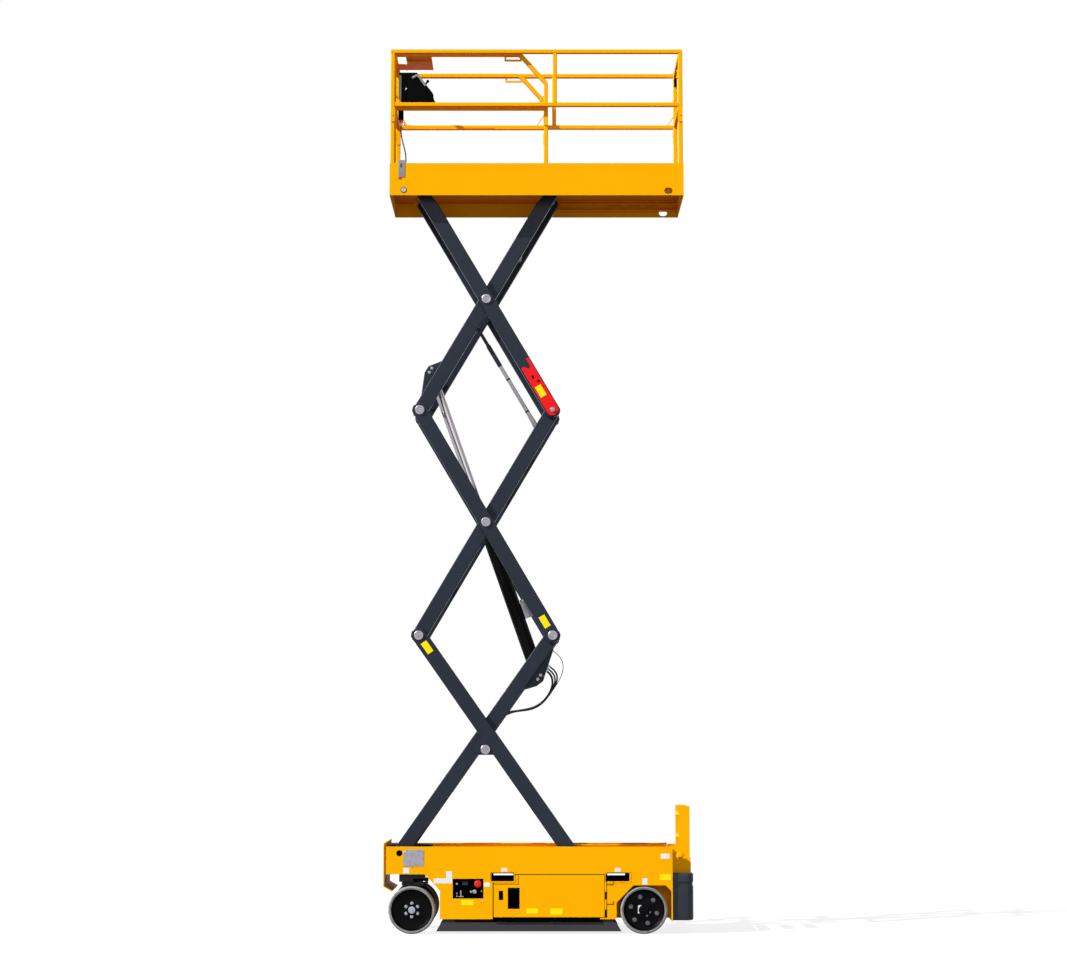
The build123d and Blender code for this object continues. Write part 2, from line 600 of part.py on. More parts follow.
def side_plate(near):
    y0, y1 = HALF_WIDTH - SHEET, HALF_WIDTH
    plate = prism([(CHASSIS_X0, PLATE_TOP), (CHASSIS_X0, NOSE_BOTTOM), (NOSE_X, NOSE_BOTTOM),
                   (NOSE_END_X, SLOPE_BOTTOM), (NOSE_END_X, BELLY_Z), (ARCH_X0, BELLY_Z),
                   (ARCH_X0, ARCH_RISE_Z), (ARCH_TOP_X0, ARCH_TOP_Z), (ARCH_TOP_X1, ARCH_TOP_Z),
                   (ARCH_X1, ARCH_TOP_Z - (ARCH_X1 - ARCH_TOP_X1)), (ARCH_X1, REAR_WALL_BOTTOM),
                   (CHASSIS_X1, REAR_WALL_BOTTOM), (CHASSIS_X1, PLATE_TOP)], y0, y1)
    for x in POCKETS_X:
        plate -= pocket_box(x, 0, y1 + 1)
    plate -= prism(door_outline(GAP), y0 - 1, y1 + 1)
    plate -= block(DOOR_X1, HINGE_X + HINGE_R + 3, y0 - 1, y1 + 1, DOOR_Z0 - GAP, DOOR_Z1 + GAP)
    plate -= rod_y(FOOT_X, FOOT_Z, PIN_R, y0 - 1, y1 + 1)
    plate += block(CHASSIS_X0 + SHEET + SEAT_GAP, CHASSIS_X1, y0 - LIP, y0 + 1, PLATE_TOP - SHEET, PLATE_TOP)
    if near:
        plate -= block(PANEL_X0, PANEL_X1, y0 - 1, y1 + 1, PANEL_Z0, PANEL_Z1)
    hinge_y = HALF_WIDTH - SHEET / 2
    for z in HINGE_ZS:
        plate += rod_z(HINGE_X, hinge_y, HINGE_R * 0.5, z - HINGE_HALF - 12, z + HINGE_HALF + 12)
        for end in (-1, 1):
            z0, z1 = sorted((z + end * (HINGE_HALF + 1), z + end * (HINGE_HALF + 14)))
            plate += rod_z(HINGE_X, hinge_y, HINGE_R, z0, z1)
            plate += block(HINGE_X, HINGE_X + HINGE_R + 4, y0, y1, z0, z1)
    return mirror(plate, Plane.XZ) if near else plate


def chassis_tray():
    """Floor under the folded arms, with the front and rear walls that stand on it."""
    y1 = HALF_WIDTH - SHEET
    x0, x1 = CHASSIS_X0, CHASSIS_X1
    tray = block(x0, x1, -y1, y1, TRAY_Z - SHEET, TRAY_Z)
    tray -= block(WELL_X0, WELL_X1, -WELL_Y, WELL_Y, TRAY_Z - SHEET - 1, TRAY_Z + 1)
    tray += block(x0, x0 + SHEET, -y1, y1, NOSE_BOTTOM, PLATE_TOP)
    tray += block(x1 - SHEET, x1, -y1, y1, REAR_WALL_BOTTOM, REAR_WALL_TOP)
    return tray


def battery_bays():
    """Belly pan and the walls of the bays on both sides, open outwards to the doors."""
    y1 = HALF_WIDTH - SHEET
    top = TRAY_Z - SHEET
    x1 = CHASSIS_X1 - SHEET
    bays = block(NOSE_END_X, ARCH_X0, -y1, y1, BELLY_Z, BELLY_Z + SHEET)
    bays += block(ARCH_X0 - 1, x1, -REAR_WALL_Y, REAR_WALL_Y, BELLY_Z, BELLY_Z + SHEET)
    bays += block(NOSE_END_X, NOSE_END_X + SHEET, -y1, y1, BELLY_Z, top)
    walls = block(NOSE_END_X, ARCH_X0 + SHEET, MID_WALL_Y, MID_WALL_Y + SHEET, BELLY_Z, top)
    walls += block(ARCH_X0, x1, REAR_WALL_Y, REAR_WALL_Y + SHEET, BELLY_Z, top)
    walls += block(ARCH_X0, ARCH_X0 + SHEET, MID_WALL_Y, REAR_WALL_Y + 1, BELLY_Z, top)
    bays += both_sides(walls)
    for x in POCKETS_X:
        bays -= pocket_box(x, 0, y1 - 1)
    return bays


def wheel_arches():
    """Folded sheets over the rear wheels."""
    t = LINER_T
    x_end = CHASSIS_X1 - SHEET
    z_end = ARCH_TOP_Z - (x_end - ARCH_TOP_X1)
    under = [(ARCH_X0, BELLY_Z + SHEET), (ARCH_X0, ARCH_RISE_Z), (ARCH_TOP_X0, ARCH_TOP_Z),
             (ARCH_TOP_X1, ARCH_TOP_Z), (x_end, z_end)]
    over = [(x_end, z_end + t * 1.5), (ARCH_TOP_X1 + t / 2, ARCH_TOP_Z + t), (ARCH_TOP_X0 - t / 2, ARCH_TOP_Z + t),
            (ARCH_X0 - t, ARCH_RISE_Z + t / 2), (ARCH_X0 - t, BELLY_Z + SHEET)]
    return both_sides(prism(under + over, REAR_WALL_Y + SHEET, HALF_WIDTH - SHEET))


def arm_supports():
    """Channels that the rolling foot runs in, and the brackets of the fixed foot."""
    return both_sides(lower_track() + foot_bracket())


def lower_track():
    """Channel that the rolling foot runs in."""
    web = BRACKET_Y + TRACK_DEPTH
    half = ROLLER_R + 1.5
    x1 = CHASSIS_X1 - SHEET
    track = block(TRACK_X0, x1, web, web + TRACK_SHEET, TRAY_Z, FOOT_Z + half + TRACK_SHEET)
    for z in (FOOT_Z - half - TRACK_SHEET, FOOT_Z + half):
        track += block(TRACK_X0, x1, BRACKET_Y - 2, web + 1, z, z + TRACK_SHEET)
    return track


def foot_bracket():
    y0, y1 = BRACKET_Y, BRACKET_Y + BRACKET_T
    plate = prism([(FOOT_X - 90, TRAY_Z), (FOOT_X - 30, FOOT_Z + 40), (FOOT_X + 30, FOOT_Z + 40),
                   (FOOT_X + 90, TRAY_Z)], y0, y1)
    return plate - rod_y(FOOT_X, FOOT_Z, PIN_R + PIN_GAP, y0 - 1, y1 + 1)


def fork_pockets():
    tubes = Part()
    for x in POCKETS_X:
        tubes += pocket_box(x, -SEAT_GAP, HALF_WIDTH) - pocket_box(x, -POCKET_WALL, HALF_WIDTH + 1)
    return tubes


def door(near):
    y0, y1 = HALF_WIDTH - SHEET, HALF_WIDTH
    hinge_y = HALF_WIDTH - SHEET / 2
    panel = prism(door_outline(0), y0, y1)
    for x0, x1, z0, z1 in (VENT, LATCH):
        panel -= block(x0, x1, y0 - 1, y1 + 1, z0, z1)
    for z in HINGE_ZS:
        panel += rod_z(HINGE_X, hinge_y, HINGE_R, z - HINGE_HALF, z + HINGE_HALF)
        panel += block(DOOR_X1 - 2, HINGE_X, y0, y1, z - HINGE_HALF, z + HINGE_HALF)
        panel -= rod_z(HINGE_X, hinge_y, HINGE_R * 0.5 + PIN_GAP, z - HINGE_HALF - 1, z + HINGE_HALF + 1)
    return mirror(panel, Plane.XZ) if near else panel


def batteries():
    y0 = MID_WALL_Y + SHEET + 9
    x0 = -280.0
    z0 = BELLY_Z + SHEET
    return both_sides(block(x0, x0 + BATTERY_LENGTH, y0, y0 + BATTERY_WIDTH, z0, z0 + BATTERY_HEIGHT))


def control_panel():
    y1 = HALF_WIDTH - SHEET
    y0 = y1 - PANEL_DEPTH
    rim = 12.0
    body = block(PANEL_X0 - rim, PANEL_X1 + rim, y0, y1, PANEL_Z0 - rim, PANEL_Z1 + rim)
    body -= block(PANEL_X0 + 4, PANEL_X1 - 4, y0 + 6, y1 + 1, PANEL_Z0 + 4, PANEL_Z1 - 4)
    return mirror(body, Plane.XZ)


def emergency_stop():
    y0 = HALF_WIDTH - SHEET - PANEL_DEPTH + 6 + SEAT_GAP
    body = rod_y(STOP_X, STOP_Z, STOP_R * 0.6, y0, y0 + 10)
    body += rod_y(STOP_X, STOP_Z, STOP_R, y0 + 10, HALF_WIDTH - 3)
    return mirror(body, Plane.XZ)


def front_bumper():
    y1 = HALF_WIDTH - SHEET
    t = BUMPER_T
    x, bend, tip_x, tip_z = BUMPER_X, BUMPER_BEND_Z, BUMPER_TIP_X, BUMPER_TIP_Z
    plate = prism([(CHASSIS_X0, BUMPER_TOP), (x + 12, BUMPER_TOP), (x, BUMPER_TOP - 12), (x, bend),
                   (tip_x, tip_z), (tip_x + t * 0.6, tip_z + t), (x + t, bend + t / 2),
                   (x + t, BUMPER_TOP - t), (CHASSIS_X0, BUMPER_TOP - t)], -y1, y1)
    rails = block(x + t - 1, CHASSIS_X0, y1 - 60, y1 - 52, NOSE_BOTTOM + 10, BUMPER_TOP - t + 1)
    return plate + both_sides(rails)


def front_hood():
    y1 = HOOD_Y
    x0 = CHASSIS_X0 + SHEET
    hood = block(x0, HOOD_X1, -y1, y1, HOOD_Z - HOOD_DEPTH, HOOD_Z)
    hood -= block(x0 - 1, HOOD_X1 - 4, -y1 + 4, y1 - 4, HOOD_Z - HOOD_DEPTH - 1, HOOD_Z - 4)
    hood += both_sides(block(HOOD_X1 - 34, HOOD_X1 - 4, y1 - 30, y1 - 4, TRAY_Z, HOOD_Z - 2))
    return hood


# ---------------------------------------------------------------- wheels and steering
def tyre(x, side):
    y0, y1 = HALF_WIDTH - TYRE_WIDTH, HALF_WIDTH
    edge = 12.0
    section = Polyline((TYRE_INNER_R + SEAT_GAP, y0), (WHEEL_R - edge, y0), (WHEEL_R, y0 + edge),
                       (WHEEL_R, y1 - edge), (WHEEL_R - edge, y1), (TYRE_INNER_R + SEAT_GAP, y1), close=True)
    ring = revolve(make_face(section), Axis.Y)
    ring = Pos(x, 0, WHEEL_R) * ring
    return ring if side > 0 else mirror(ring, Plane.XZ)


def rim(x, side):
    y0, y1 = HALF_WIDTH - TYRE_WIDTH + 4, HALF_WIDTH - 6
    t = RIM_SHEET
    r = TYRE_INNER_R
    web = y1 - 34
    bore = AXLE_R + PIN_GAP
    section = Polyline((bore, web - 30), (RIM_HUB_R, web - 30), (RIM_HUB_R + 6, web - t), (r - 40, web - t),
                       (r - 26, web - 22), (r - t, web - 22), (r - t, y0), (r, y0), (r, y1), (r - t, y1),
                       (r - t, web - 10), (r - 24, web - 10), (r - 40, web), (RIM_HUB_R + 8, web),
                       (RIM_HUB_R, web + 12), (bore, web + 12), close=True)
    disc = Pos(x, 0, WHEEL_R) * revolve(make_face(section), Axis.Y)
    return disc if side > 0 else mirror(disc, Plane.XZ)


def knuckle(side):
    """Turntable block over the wheel, with a leg down to its hub motor and a steering arm."""
    x, y = FRONT_X, KINGPIN_Y
    leg1 = WHEEL_INNER - 2 * SHEET
    leg0 = leg1 - LEG_T
    top = KNUCKLE_TOP
    body = block(x - KNUCKLE_HALF, x + KNUCKLE_HALF, leg0, y + LEG_HALF, WHEEL_R * 2 + GAP, top)
    body += block(x - LEG_HALF, x + LEG_HALF, leg0, leg1, WHEEL_R - LEG_HALF, top)
    body += rod_y(x, WHEEL_R, MOTOR_R, leg0 - MOTOR_LENGTH, leg1)
    body += rod_y(x, WHEEL_R, AXLE_R, leg1 - 1, HALF_WIDTH - AXLE_END)
    body += rod_z(x, y, KINGPIN_R, top - 1, TRAY_Z - SHEET - 4)
    pin_x = x + STEER_ARM
    arm_z = top - 2 * SHEET
    body += block(x + LEG_HALF, pin_x, y - TIE_ROD_EYE_R, y + TIE_ROD_EYE_R, arm_z, top)
    body += rod_z(pin_x, y, TIE_ROD_EYE_R, arm_z, top)
    body += rod_z(pin_x, y, TIE_PIN_R, top - 1, TIE_ROD_Z + TIE_ROD_EYE_HALF + 1)
    return body if side > 0 else mirror(body, Plane.XZ)


def tie_rod():
    x, y, z = FRONT_X + STEER_ARM, KINGPIN_Y, TIE_ROD_Z
    half = TIE_ROD_EYE_HALF
    inner = y - TIE_ROD_EYE_R + 3
    bar = rod_y(x, z, TIE_ROD_R, -inner, inner)
    for end in (-y, y):
        eye = rod_z(x, end, TIE_ROD_EYE_R, z - half, z + half)
        bar += eye - rod_z(x, end, TIE_PIN_R + PIN_GAP, z - half - 1, z + half + 1)
    return bar


def front_beam():
    x = FRONT_X
    top = TRAY_Z - SHEET
    body = both_sides(block(x - BEAM_HALF, x + BEAM_HALF, BEAM_INNER_Y, BEAM_OUTER_Y, BEAM_Z, top))
    body += block(x - BEAM_WEB_HALF, x + BEAM_WEB_HALF, -BEAM_INNER_Y - 1, BEAM_INNER_Y + 1, BEAM_Z + SHEET, top)
    for side in (-1, 1):
        body -= rod_z(x, side * KINGPIN_Y, KINGPIN_R + PIN_GAP, BEAM_Z - 1, top - 2)
    return body


def kingpin_housings():
    """Blocks under the beam in front of the kingpins, clear of the tie rod behind them."""
    x = FRONT_X
    housing = block(x - BEAM_HALF, x + KINGPIN_R / 2, BEAM_INNER_Y, BEAM_OUTER_Y, KNUCKLE_TOP + 4, BEAM_Z)
    return both_sides(housing - rod_z(x, KINGPIN_Y, KINGPIN_R + PIN_GAP, KNUCKLE_TOP, BEAM_Z + 1))


def rear_hubs():
    y0 = REAR_WALL_Y + SHEET
    hub = rod_y(REAR_X, WHEEL_R, REAR_HUB_R, y0, y0 + REAR_HUB_LENGTH)
    hub += rod_y(REAR_X, WHEEL_R, AXLE_R, y0 + GAP, HALF_WIDTH - AXLE_END)
    return both_sides(hub)


def pothole_guard(side):
    """Bar under the chassis side, hung from a hinge rod."""
    y0, y1 = GUARD_HINGE_Y - GUARD_T / 2, GUARD_HINGE_Y + GUARD_T / 2
    top = GUARD_HINGE_Z - GUARD_DROP
    bar = prism([(GUARD_X0, GUARD_BOTTOM), (GUARD_X1, GUARD_BOTTOM), (GUARD_X1 - GUARD_SLANT, top),
                 (GUARD_X0 + GUARD_SLANT, top)], y0, y1)
    places = guard_lug_places()
    for x in places:
        for end in (-1, 1):
            x0, x1 = sorted((x + end * (GUARD_LUG_T / 2 + 1), x + end * (GUARD_LUG_T / 2 + 40)))
            bar += block(x0, x1, y0, y1, top - 1, GUARD_HINGE_Z)
            bar += Pos((x0 + x1) / 2, GUARD_HINGE_Y, GUARD_HINGE_Z) * Rot(0, 90, 0) * Cylinder(7, x1 - x0)
        bar += Pos(x, GUARD_HINGE_Y, GUARD_HINGE_Z) * Rot(0, 90, 0) * Cylinder(GUARD_PIN_R, GUARD_LUG_T + 4)
    return bar if side > 0 else mirror(bar, Plane.XZ)


def guard_lug_places():
    x0, x1 = GUARD_X0 + 2 * GUARD_SLANT + 20, GUARD_X1 - 2 * GUARD_SLANT - 20
    return [x0 + (x1 - x0) * i / (GUARD_LUGS - 1) for i in range(GUARD_LUGS)]


def guard_lugs():
    """Ears under the belly pan that the guards hang from."""
    lugs = Part()
    for x in guard_lug_places():
        lugs += guard_lug(x)
    return both_sides(lugs)


def guard_lug(x):
    half = GUARD_LUG_HALF
    lug = block(x - GUARD_LUG_T / 2, x + GUARD_LUG_T / 2, GUARD_HINGE_Y - half, GUARD_HINGE_Y + half,
                GUARD_HINGE_Z - half, BELLY_Z)
    bore = Pos(x, GUARD_HINGE_Y, GUARD_HINGE_Z) * Rot(0, 90, 0) * Cylinder(GUARD_PIN_R + PIN_GAP, 20)
    return lug - bore


# ---------------------------------------------------------------- ladder end
def rear_cover():
    x0 = CHASSIS_X1
    shell = block(x0, COVER_X1, -COVER_Y, COVER_Y, COVER_Z0, COVER_Z1)
    upright = shell.edges().filter_by(Axis.Z).group_by(Axis.X)[-1]
    shell = fillet(upright, 55)
    rims = shell.faces().sort_by(Axis.Z)[0].edges() + shell.faces().sort_by(Axis.Z)[-1].edges()
    rims = [e for e in rims if e.center().X > x0 + 1]
    shell = fillet(rims, 14)
    hollow = block(x0 - 1, COVER_X1 - COVER_T, -COVER_Y + COVER_T, COVER_Y - COVER_T,
                   COVER_Z0 + COVER_T, COVER_Z1 - COVER_T)
    upright = hollow.edges().filter_by(Axis.Z).group_by(Axis.X)[-1]
    return shell - fillet(upright, 50)


def ladder():
    x0 = CHASSIS_X1
    z0 = COVER_Z1
    part = block(x0, LADDER_X1, -LUG_Y - SHEET, LUG_Y + SHEET, z0, z0 + SHEET)
    lug = prism([(x0, z0), (LADDER_X1, z0), (LADDER_X1, z0 + 110), (LUG_X + 62, LUG_Z + 20),
                 (LUG_X + 30, LUG_TOP), (x0, LUG_TOP)], LUG_Y, LUG_Y + SHEET)
    lug -= rod_y(LUG_X, LUG_Z, LUG_HOLE_R, LUG_Y - 1, LUG_Y + SHEET + 1)
    stile = block(LADDER_X0, LADDER_X1, LADDER_Y, LADDER_Y + SHEET, z0 + 1, LADDER_TOP)
    part += both_sides(lug + stile)
    for z in STEP_ZS:
        step = block(LADDER_X0 + 4, LADDER_X1 - 4, -LADDER_Y - 1, LADDER_Y + 1, z - STEP_T, z)
        step -= block(LADDER_X0 + 8, LADDER_X1 - 8, -LADDER_Y + 4, LADDER_Y - 4, z - STEP_T - 1, z - 4)
        part += step
    return part


# ---------------------------------------------------------------- platform
def platform_frame():
    x0, x1 = PLATFORM_X0, PLATFORM_X1
    y1 = HALF_WIDTH
    top = DECK_TOP
    toe = top + TOE_HEIGHT
    bottom = TOP_PIN_Z - SIDE_DROP
    frame = both_sides(block(x0, x1, y1 - SHEET, y1, bottom, toe))
    frame -= block(TOE_NOTCH_X0, TOE_NOTCH_X1, -y1 - 1, -y1 + SHEET + 1, top + SHEET, toe + 1)
    frame += block(x0, x1, -y1 + 1, y1 - 1, top - SHEET, top)
    frame += block(x0, x0 + SHEET, -y1 + 1, y1 - 1, bottom, top)
    frame += block(x1 - SHEET, x1, -y1 + 1, y1 - 1, bottom, top)
    return frame - tie_slots()


def tie_slots():
    """Slots through both side plates for lifting straps."""
    x, z = SLOT_X, TOP_PIN_Z - SLOT_DROP
    reach = (SLOT_LENGTH - SLOT_HEIGHT) / 2
    y0, y1 = -HALF_WIDTH - 1, HALF_WIDTH + 1
    slot = block(x - reach, x + reach, y0, y1, z - SLOT_HEIGHT / 2, z + SLOT_HEIGHT / 2)
    for end in (x - reach, x + reach):
        slot += rod_y(end, z, SLOT_HEIGHT / 2, y0, y1)
    return slot


def platform_tracks():
    """Channels that the upper rollers run in, and the brackets of the platform's pivot."""
    return both_sides(upper_track()) + both_sides(top_bracket())


def upper_track():
    web = BRACKET_Y + TRACK_DEPTH
    half = ROLLER_R + 1.5
    z = TOP_PIN_Z
    x0 = RIGHTS[-1][0] - 56
    x1 = PLATFORM_X1 - SHEET
    track = block(x0, x1, web, web + TRACK_SHEET, z - half - TRACK_SHEET, DECK_TOP - SHEET)
    for low in (z - half - TRACK_SHEET, z + half):
        track += block(x0, x1, BRACKET_Y - 2, web + 1, low, low + TRACK_SHEET)
    for slot_x0, slot_x1 in WEB_SLOTS:
        track -= block(slot_x0, slot_x1, web - 1, web + TRACK_SHEET + 1, z - WEB_SLOT_DROP, z + WEB_SLOT_RISE)
    return track


def top_bracket():
    x, z = LEFTS[-1]
    y0, y1 = BRACKET_Y, BRACKET_Y + BRACKET_T
    under = DECK_TOP - SHEET
    plate = prism([(x - 80, under), (x - 36, z - 36), (x + 36, z - 36), (x + 80, under)], y0, y1)
    return plate - rod_y(x, z, PIN_R + PIN_GAP, y0 - 1, y1 + 1)


def guardrails():
    """Fixed rails on both sides, with the lugs that carry the gate."""
    x0, x1 = PLATFORM_X0 + 3, PLATFORM_X1 - 3
    y0, y1 = RAIL_Y, RAIL_Y + RAIL
    top = DECK_TOP + RAIL_TOP
    mid = DECK_TOP + MID_RAIL_TOP
    side = block(x0, x1, y0, y1, top - RAIL, top) + block(x0, x1, y0, y1, mid - RAIL, mid)
    for x in (x0, x1 - RAIL):
        side += block(x, x + RAIL, y0, y1, DECK_TOP, top)
    side += block(POST_X - RAIL / 2, POST_X + RAIL / 2, y0, y1, mid - 1, top - RAIL + 1)
    rails = both_sides(side)
    gx, gy = gate_axis()
    for z in (gate_low() + 60, top - 200):
        for end in (-1, 1):
            z0, z1 = sorted((z + end * 21, z + end * 33))
            lug = rod_z(gx, gy, GATE_PIN_R + 5, z0, z1) + block(gx, gx + 20, -RAIL_Y - 1, gy, z0, z1)
            rails += lug - rod_z(gx, gy, GATE_PIN_R + PIN_GAP, z0 - 1, z1 + 1)
    return rails


def gate_axis():
    return PLATFORM_X1 - 3 - RAIL, -RAIL_Y + GATE_GAP


def gate_low():
    return DECK_TOP + 10


def entry_gate():
    gx, gy = gate_axis()
    x0, x1 = gx, gx + GATE_T
    y0, y1 = gy + 2, RAIL_Y - GATE_GAP
    low = gate_low()
    top = DECK_TOP + RAIL_TOP - EXT_RAIL_DROP
    mid = DECK_TOP + MID_RAIL_TOP
    gate = block(x0, x1, y0, y1, top - RAIL, top) + block(x0, x1, y0, y1, mid - RAIL, mid)
    for y in (y0, y1 - RAIL):
        gate += block(x0, x1, y, y + RAIL, low, top)
    gate += block(x0 + 12, x0 + 18, y0 + 1, y1 - 1, low, low + TOE_HEIGHT - 10)
    for z in (low + 60, DECK_TOP + RAIL_TOP - 200):
        gate -= block(x0 - 1, x0 + 24, y0 - 1, y0 + 16, z - 36, z + 36)
        gate += rod_z(gx, gy, GATE_PIN_R, z - 33, z + 33)
        gate += block(gx, gx + 10, gy, y0 + 17, z - 18, z + 18)
    return gate


def extension_deck():
    x0, x1 = PLATFORM_X0 + 6, EXT_X1
    z0 = EXT_DECK_Z
    y1 = EXT_Y
    deck = block(x0, x1, -y1, y1, z0, z0 + EXT_SHEET)
    deck += both_sides(block(x0, x1, y1 - EXT_SHEET, y1, z0, DECK_TOP + TOE_HEIGHT))
    deck += block(x0, x0 + EXT_SHEET, -y1, y1, z0, DECK_TOP + TOE_HEIGHT)
    skid = block(x0, x1, SKID_Y, SKID_Y + SKID_WIDTH, DECK_TOP + SEAT_GAP, z0 + 1)
    return deck + both_sides(skid)


def extension_rails():
    x0, x1 = PLATFORM_X0 + 12 + SEAT_GAP, EXT_X1
    y1 = EXT_Y - EXT_SHEET - SEAT_GAP
    y0 = y1 - RAIL
    top = DECK_TOP + RAIL_TOP - EXT_RAIL_DROP
    mid = DECK_TOP + MID_RAIL_TOP - EXT_MID_DROP
    low = EXT_DECK_Z + EXT_SHEET + SEAT_GAP
    slope = atan2(EXT_BEND_Z, EXT_BEND_X)
    in_x = x1 - EXT_BEND_X - RAIL * tan(slope / 2)
    in_z = top - EXT_BEND_Z - RAIL * tan((radians(90) - slope) / 2)
    side = prism([(x0, top), (x1 - EXT_BEND_X, top), (x1, top - EXT_BEND_Z), (x1, low), (x1 - RAIL, low),
                  (x1 - RAIL, in_z), (in_x, top - RAIL), (x0, top - RAIL)], y0, y1)
    side += block(x0, x1, y0, y1, mid - RAIL, mid)
    side += block(x0, x0 + RAIL, y0, y1, low, top)
    rails = both_sides(side + handle(top - RAIL, y1 - RAIL / 2))
    rails += block(x0, x0 + RAIL, -y1, y1, top - RAIL, top)
    rails += block(x0, x0 + RAIL, -y1, y1, mid - RAIL, mid)
    return rails


def handle(z, y):
    """Slotted grip plate under a top rail."""
    x0, x1 = HANDLE
    edge = HANDLE_DROP / 3
    y0, y1 = y - HANDLE_T / 2, y + HANDLE_T / 2
    grip = block(x0, x1, y0, y1, z - HANDLE_DROP, z + 1)
    return grip - block(x0 + edge, x1 - edge, y0 - 1, y1 + 1, z - HANDLE_DROP + edge, z)


def control_shield():
    """Folded sheet over the control box, carried by the top rails."""
    z1 = DECK_TOP + RAIL_TOP - EXT_RAIL_DROP - RAIL
    z0 = z1 - SHIELD_T
    x0, x1 = SHIELD_X
    front = PLATFORM_X0 + 2 * SHEET + SEAT_GAP
    sheet = block(x0, x1, -EXT_Y + 2 * SHEET, SHIELD_Y1, z0, z1)
    sheet += block(front, x0 + 1, SHIELD_TAB_Y0, SHIELD_Y1, z0, z1)
    sheet += block(x0, x1, SHIELD_FOLD_Y, SHIELD_FOLD_Y + SHIELD_T, z0 - SHIELD_LIP, z1)
    tab_x = x0 - SHIELD_LIP
    return sheet + block(tab_x, tab_x + SHIELD_T, SHIELD_TAB_Y0, SHIELD_Y1, z0 - SHIELD_LIP, z1)


def control_box():
    """Handset with a see-through grip and a cable socket underneath."""
    mid = DECK_TOP + MID_RAIL_TOP - EXT_MID_DROP + SEAT_GAP
    y0 = -EXT_Y + EXT_SHEET
    y1 = y0 + BOX_WIDTH
    body = prism([(BOX_X + x, mid + z) for x, z in BOX_OUTLINE], y0, y1)
    body -= prism([(BOX_X + x, mid + z) for x, z in BOX_HOLE], y0 - 1, y1 + 1)
    x, y, z = control_cable_route()[0]
    body += rod_z(x, y, SOCKET_R, z + SOCKET_NECK, mid + 1)
    return body + rod_z(x, y, SOCKET_R / 2, z, z + SOCKET_NECK + 1)


def socket_box():
    y0 = -EXT_Y + EXT_SHEET + SEAT_GAP
    z0 = EXT_DECK_Z + EXT_SHEET + SEAT_GAP
    return block(SOCKET_X[0], SOCKET_X[1], y0, y0 + SOCKET_DEPTH, z0, z0 + SOCKET_HEIGHT)


# ---------------------------------------------------------------- hoses and cables
def cord(name, diameter, points):
    """Tube along straight runs with tangent arcs, each as large as its runs allow."""
    corners = [Vector(*p) for p in points]
    radii = []
    for before, here, after in zip(corners, corners[1:], corners[2:]):
        turn = (here - before).get_angle(after - here)
        shorter = min((here - before).length, (after - here).length)
        radii.append(0.45 * shorter / tan(radians(turn) / 2))
    path = FilletPolyline(*corners, radius=radii)
    tube = sweep((path ^ 0) * Circle(diameter / 2), path)
    exact = path.length * pi * diameter ** 2 / 4
    print(name, "length %.0f, smallest radius %.0f, volume ratio %.4f" % (path.length, min(radii), tube.volume / exact))
    return tube


def on_first_arm(points):
    """Points given along and off the first inner arm's tube, and across the machine."""
    placed = []
    for along, off, inwards in points:
        x, z = moved(FOOT, FIRST_ANGLE, along, off)
        placed.append((x, inwards - INNER_Y, z))
    return placed


def control_cable_route():
    return [(x, inwards - EXT_Y, DECK_TOP + z) for x, inwards, z in CONTROL_CABLE]


# ---------------------------------------------------------------- build
def nodes():
    table = {
        "chassis_side_near": side_plate(True),
        "chassis_side_far": side_plate(False),
        "chassis_tray": chassis_tray(),
        "battery_bays": battery_bays(),
        "wheel_arches": wheel_arches(),
        "arm_supports": arm_supports(),
        "fork_pockets": fork_pockets(),
        "batteries": batteries(),
        "control_panel": control_panel(),
        "emergency_stop": emergency_stop(),
        "front_bumper": front_bumper(),
        "front_hood": front_hood(),
        "front_beam": front_beam(),
        "kingpin_housings": kingpin_housings(),
        "rear_hubs": rear_hubs(),
        "rear_cover": rear_cover(),
        "ladder": ladder(),
        "tie_rod": tie_rod(),
        "arm_a1": arm_a1(),
        "arm_b1": arm_b1(),
        "arm_a2": arm_a2(),
        "arm_b2": arm_b2(),
        "arm_a3": arm_a3(),
        "arm_b3": arm_b3(),
        "hose_link": hose_link(),
        "maintenance_prop": maintenance_prop(),
        "cylinder_barrel": cylinder_barrel(),
        "cylinder_rod": cylinder_rod(),
        "valve_block": valve_block(),
        "platform_frame": platform_frame(),
        "platform_tracks": platform_tracks(),
        "guardrails": guardrails(),
        "entry_gate": entry_gate(),
        "extension_deck": extension_deck(),
        "extension_rails": extension_rails(),
        "control_box": control_box(),
        "control_shield": control_shield(),
        "socket_box": socket_box(),
        "guard_lugs": guard_lugs(),
        "control_cable": cord("control_cable", CONTROL_CABLE_D, control_cable_route()),
    }
    for name, (diameter, points) in HOSES.items():
        table[name] = cord(name, diameter, on_first_arm(points))
    for side, name in ((-1, "near"), (1, "far")):
        table["door_" + name] = door(side < 0)
        table["knuckle_" + name] = knuckle(side)
        table["pothole_guard_" + name] = pothole_guard(side)
        for x, end in ((FRONT_X, "front"), (REAR_X, "rear")):
            table["tyre_" + end + "_" + name] = tyre(x, side)
            table["rim_" + end + "_" + name] = rim(x, side)
    return table


def main():
    os.makedirs("parts", exist_ok=True)
    for name, shape in nodes().items():
        export_step(shape, "parts/" + name + ".step")


if __name__ == "__main__":
    main()
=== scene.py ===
import json

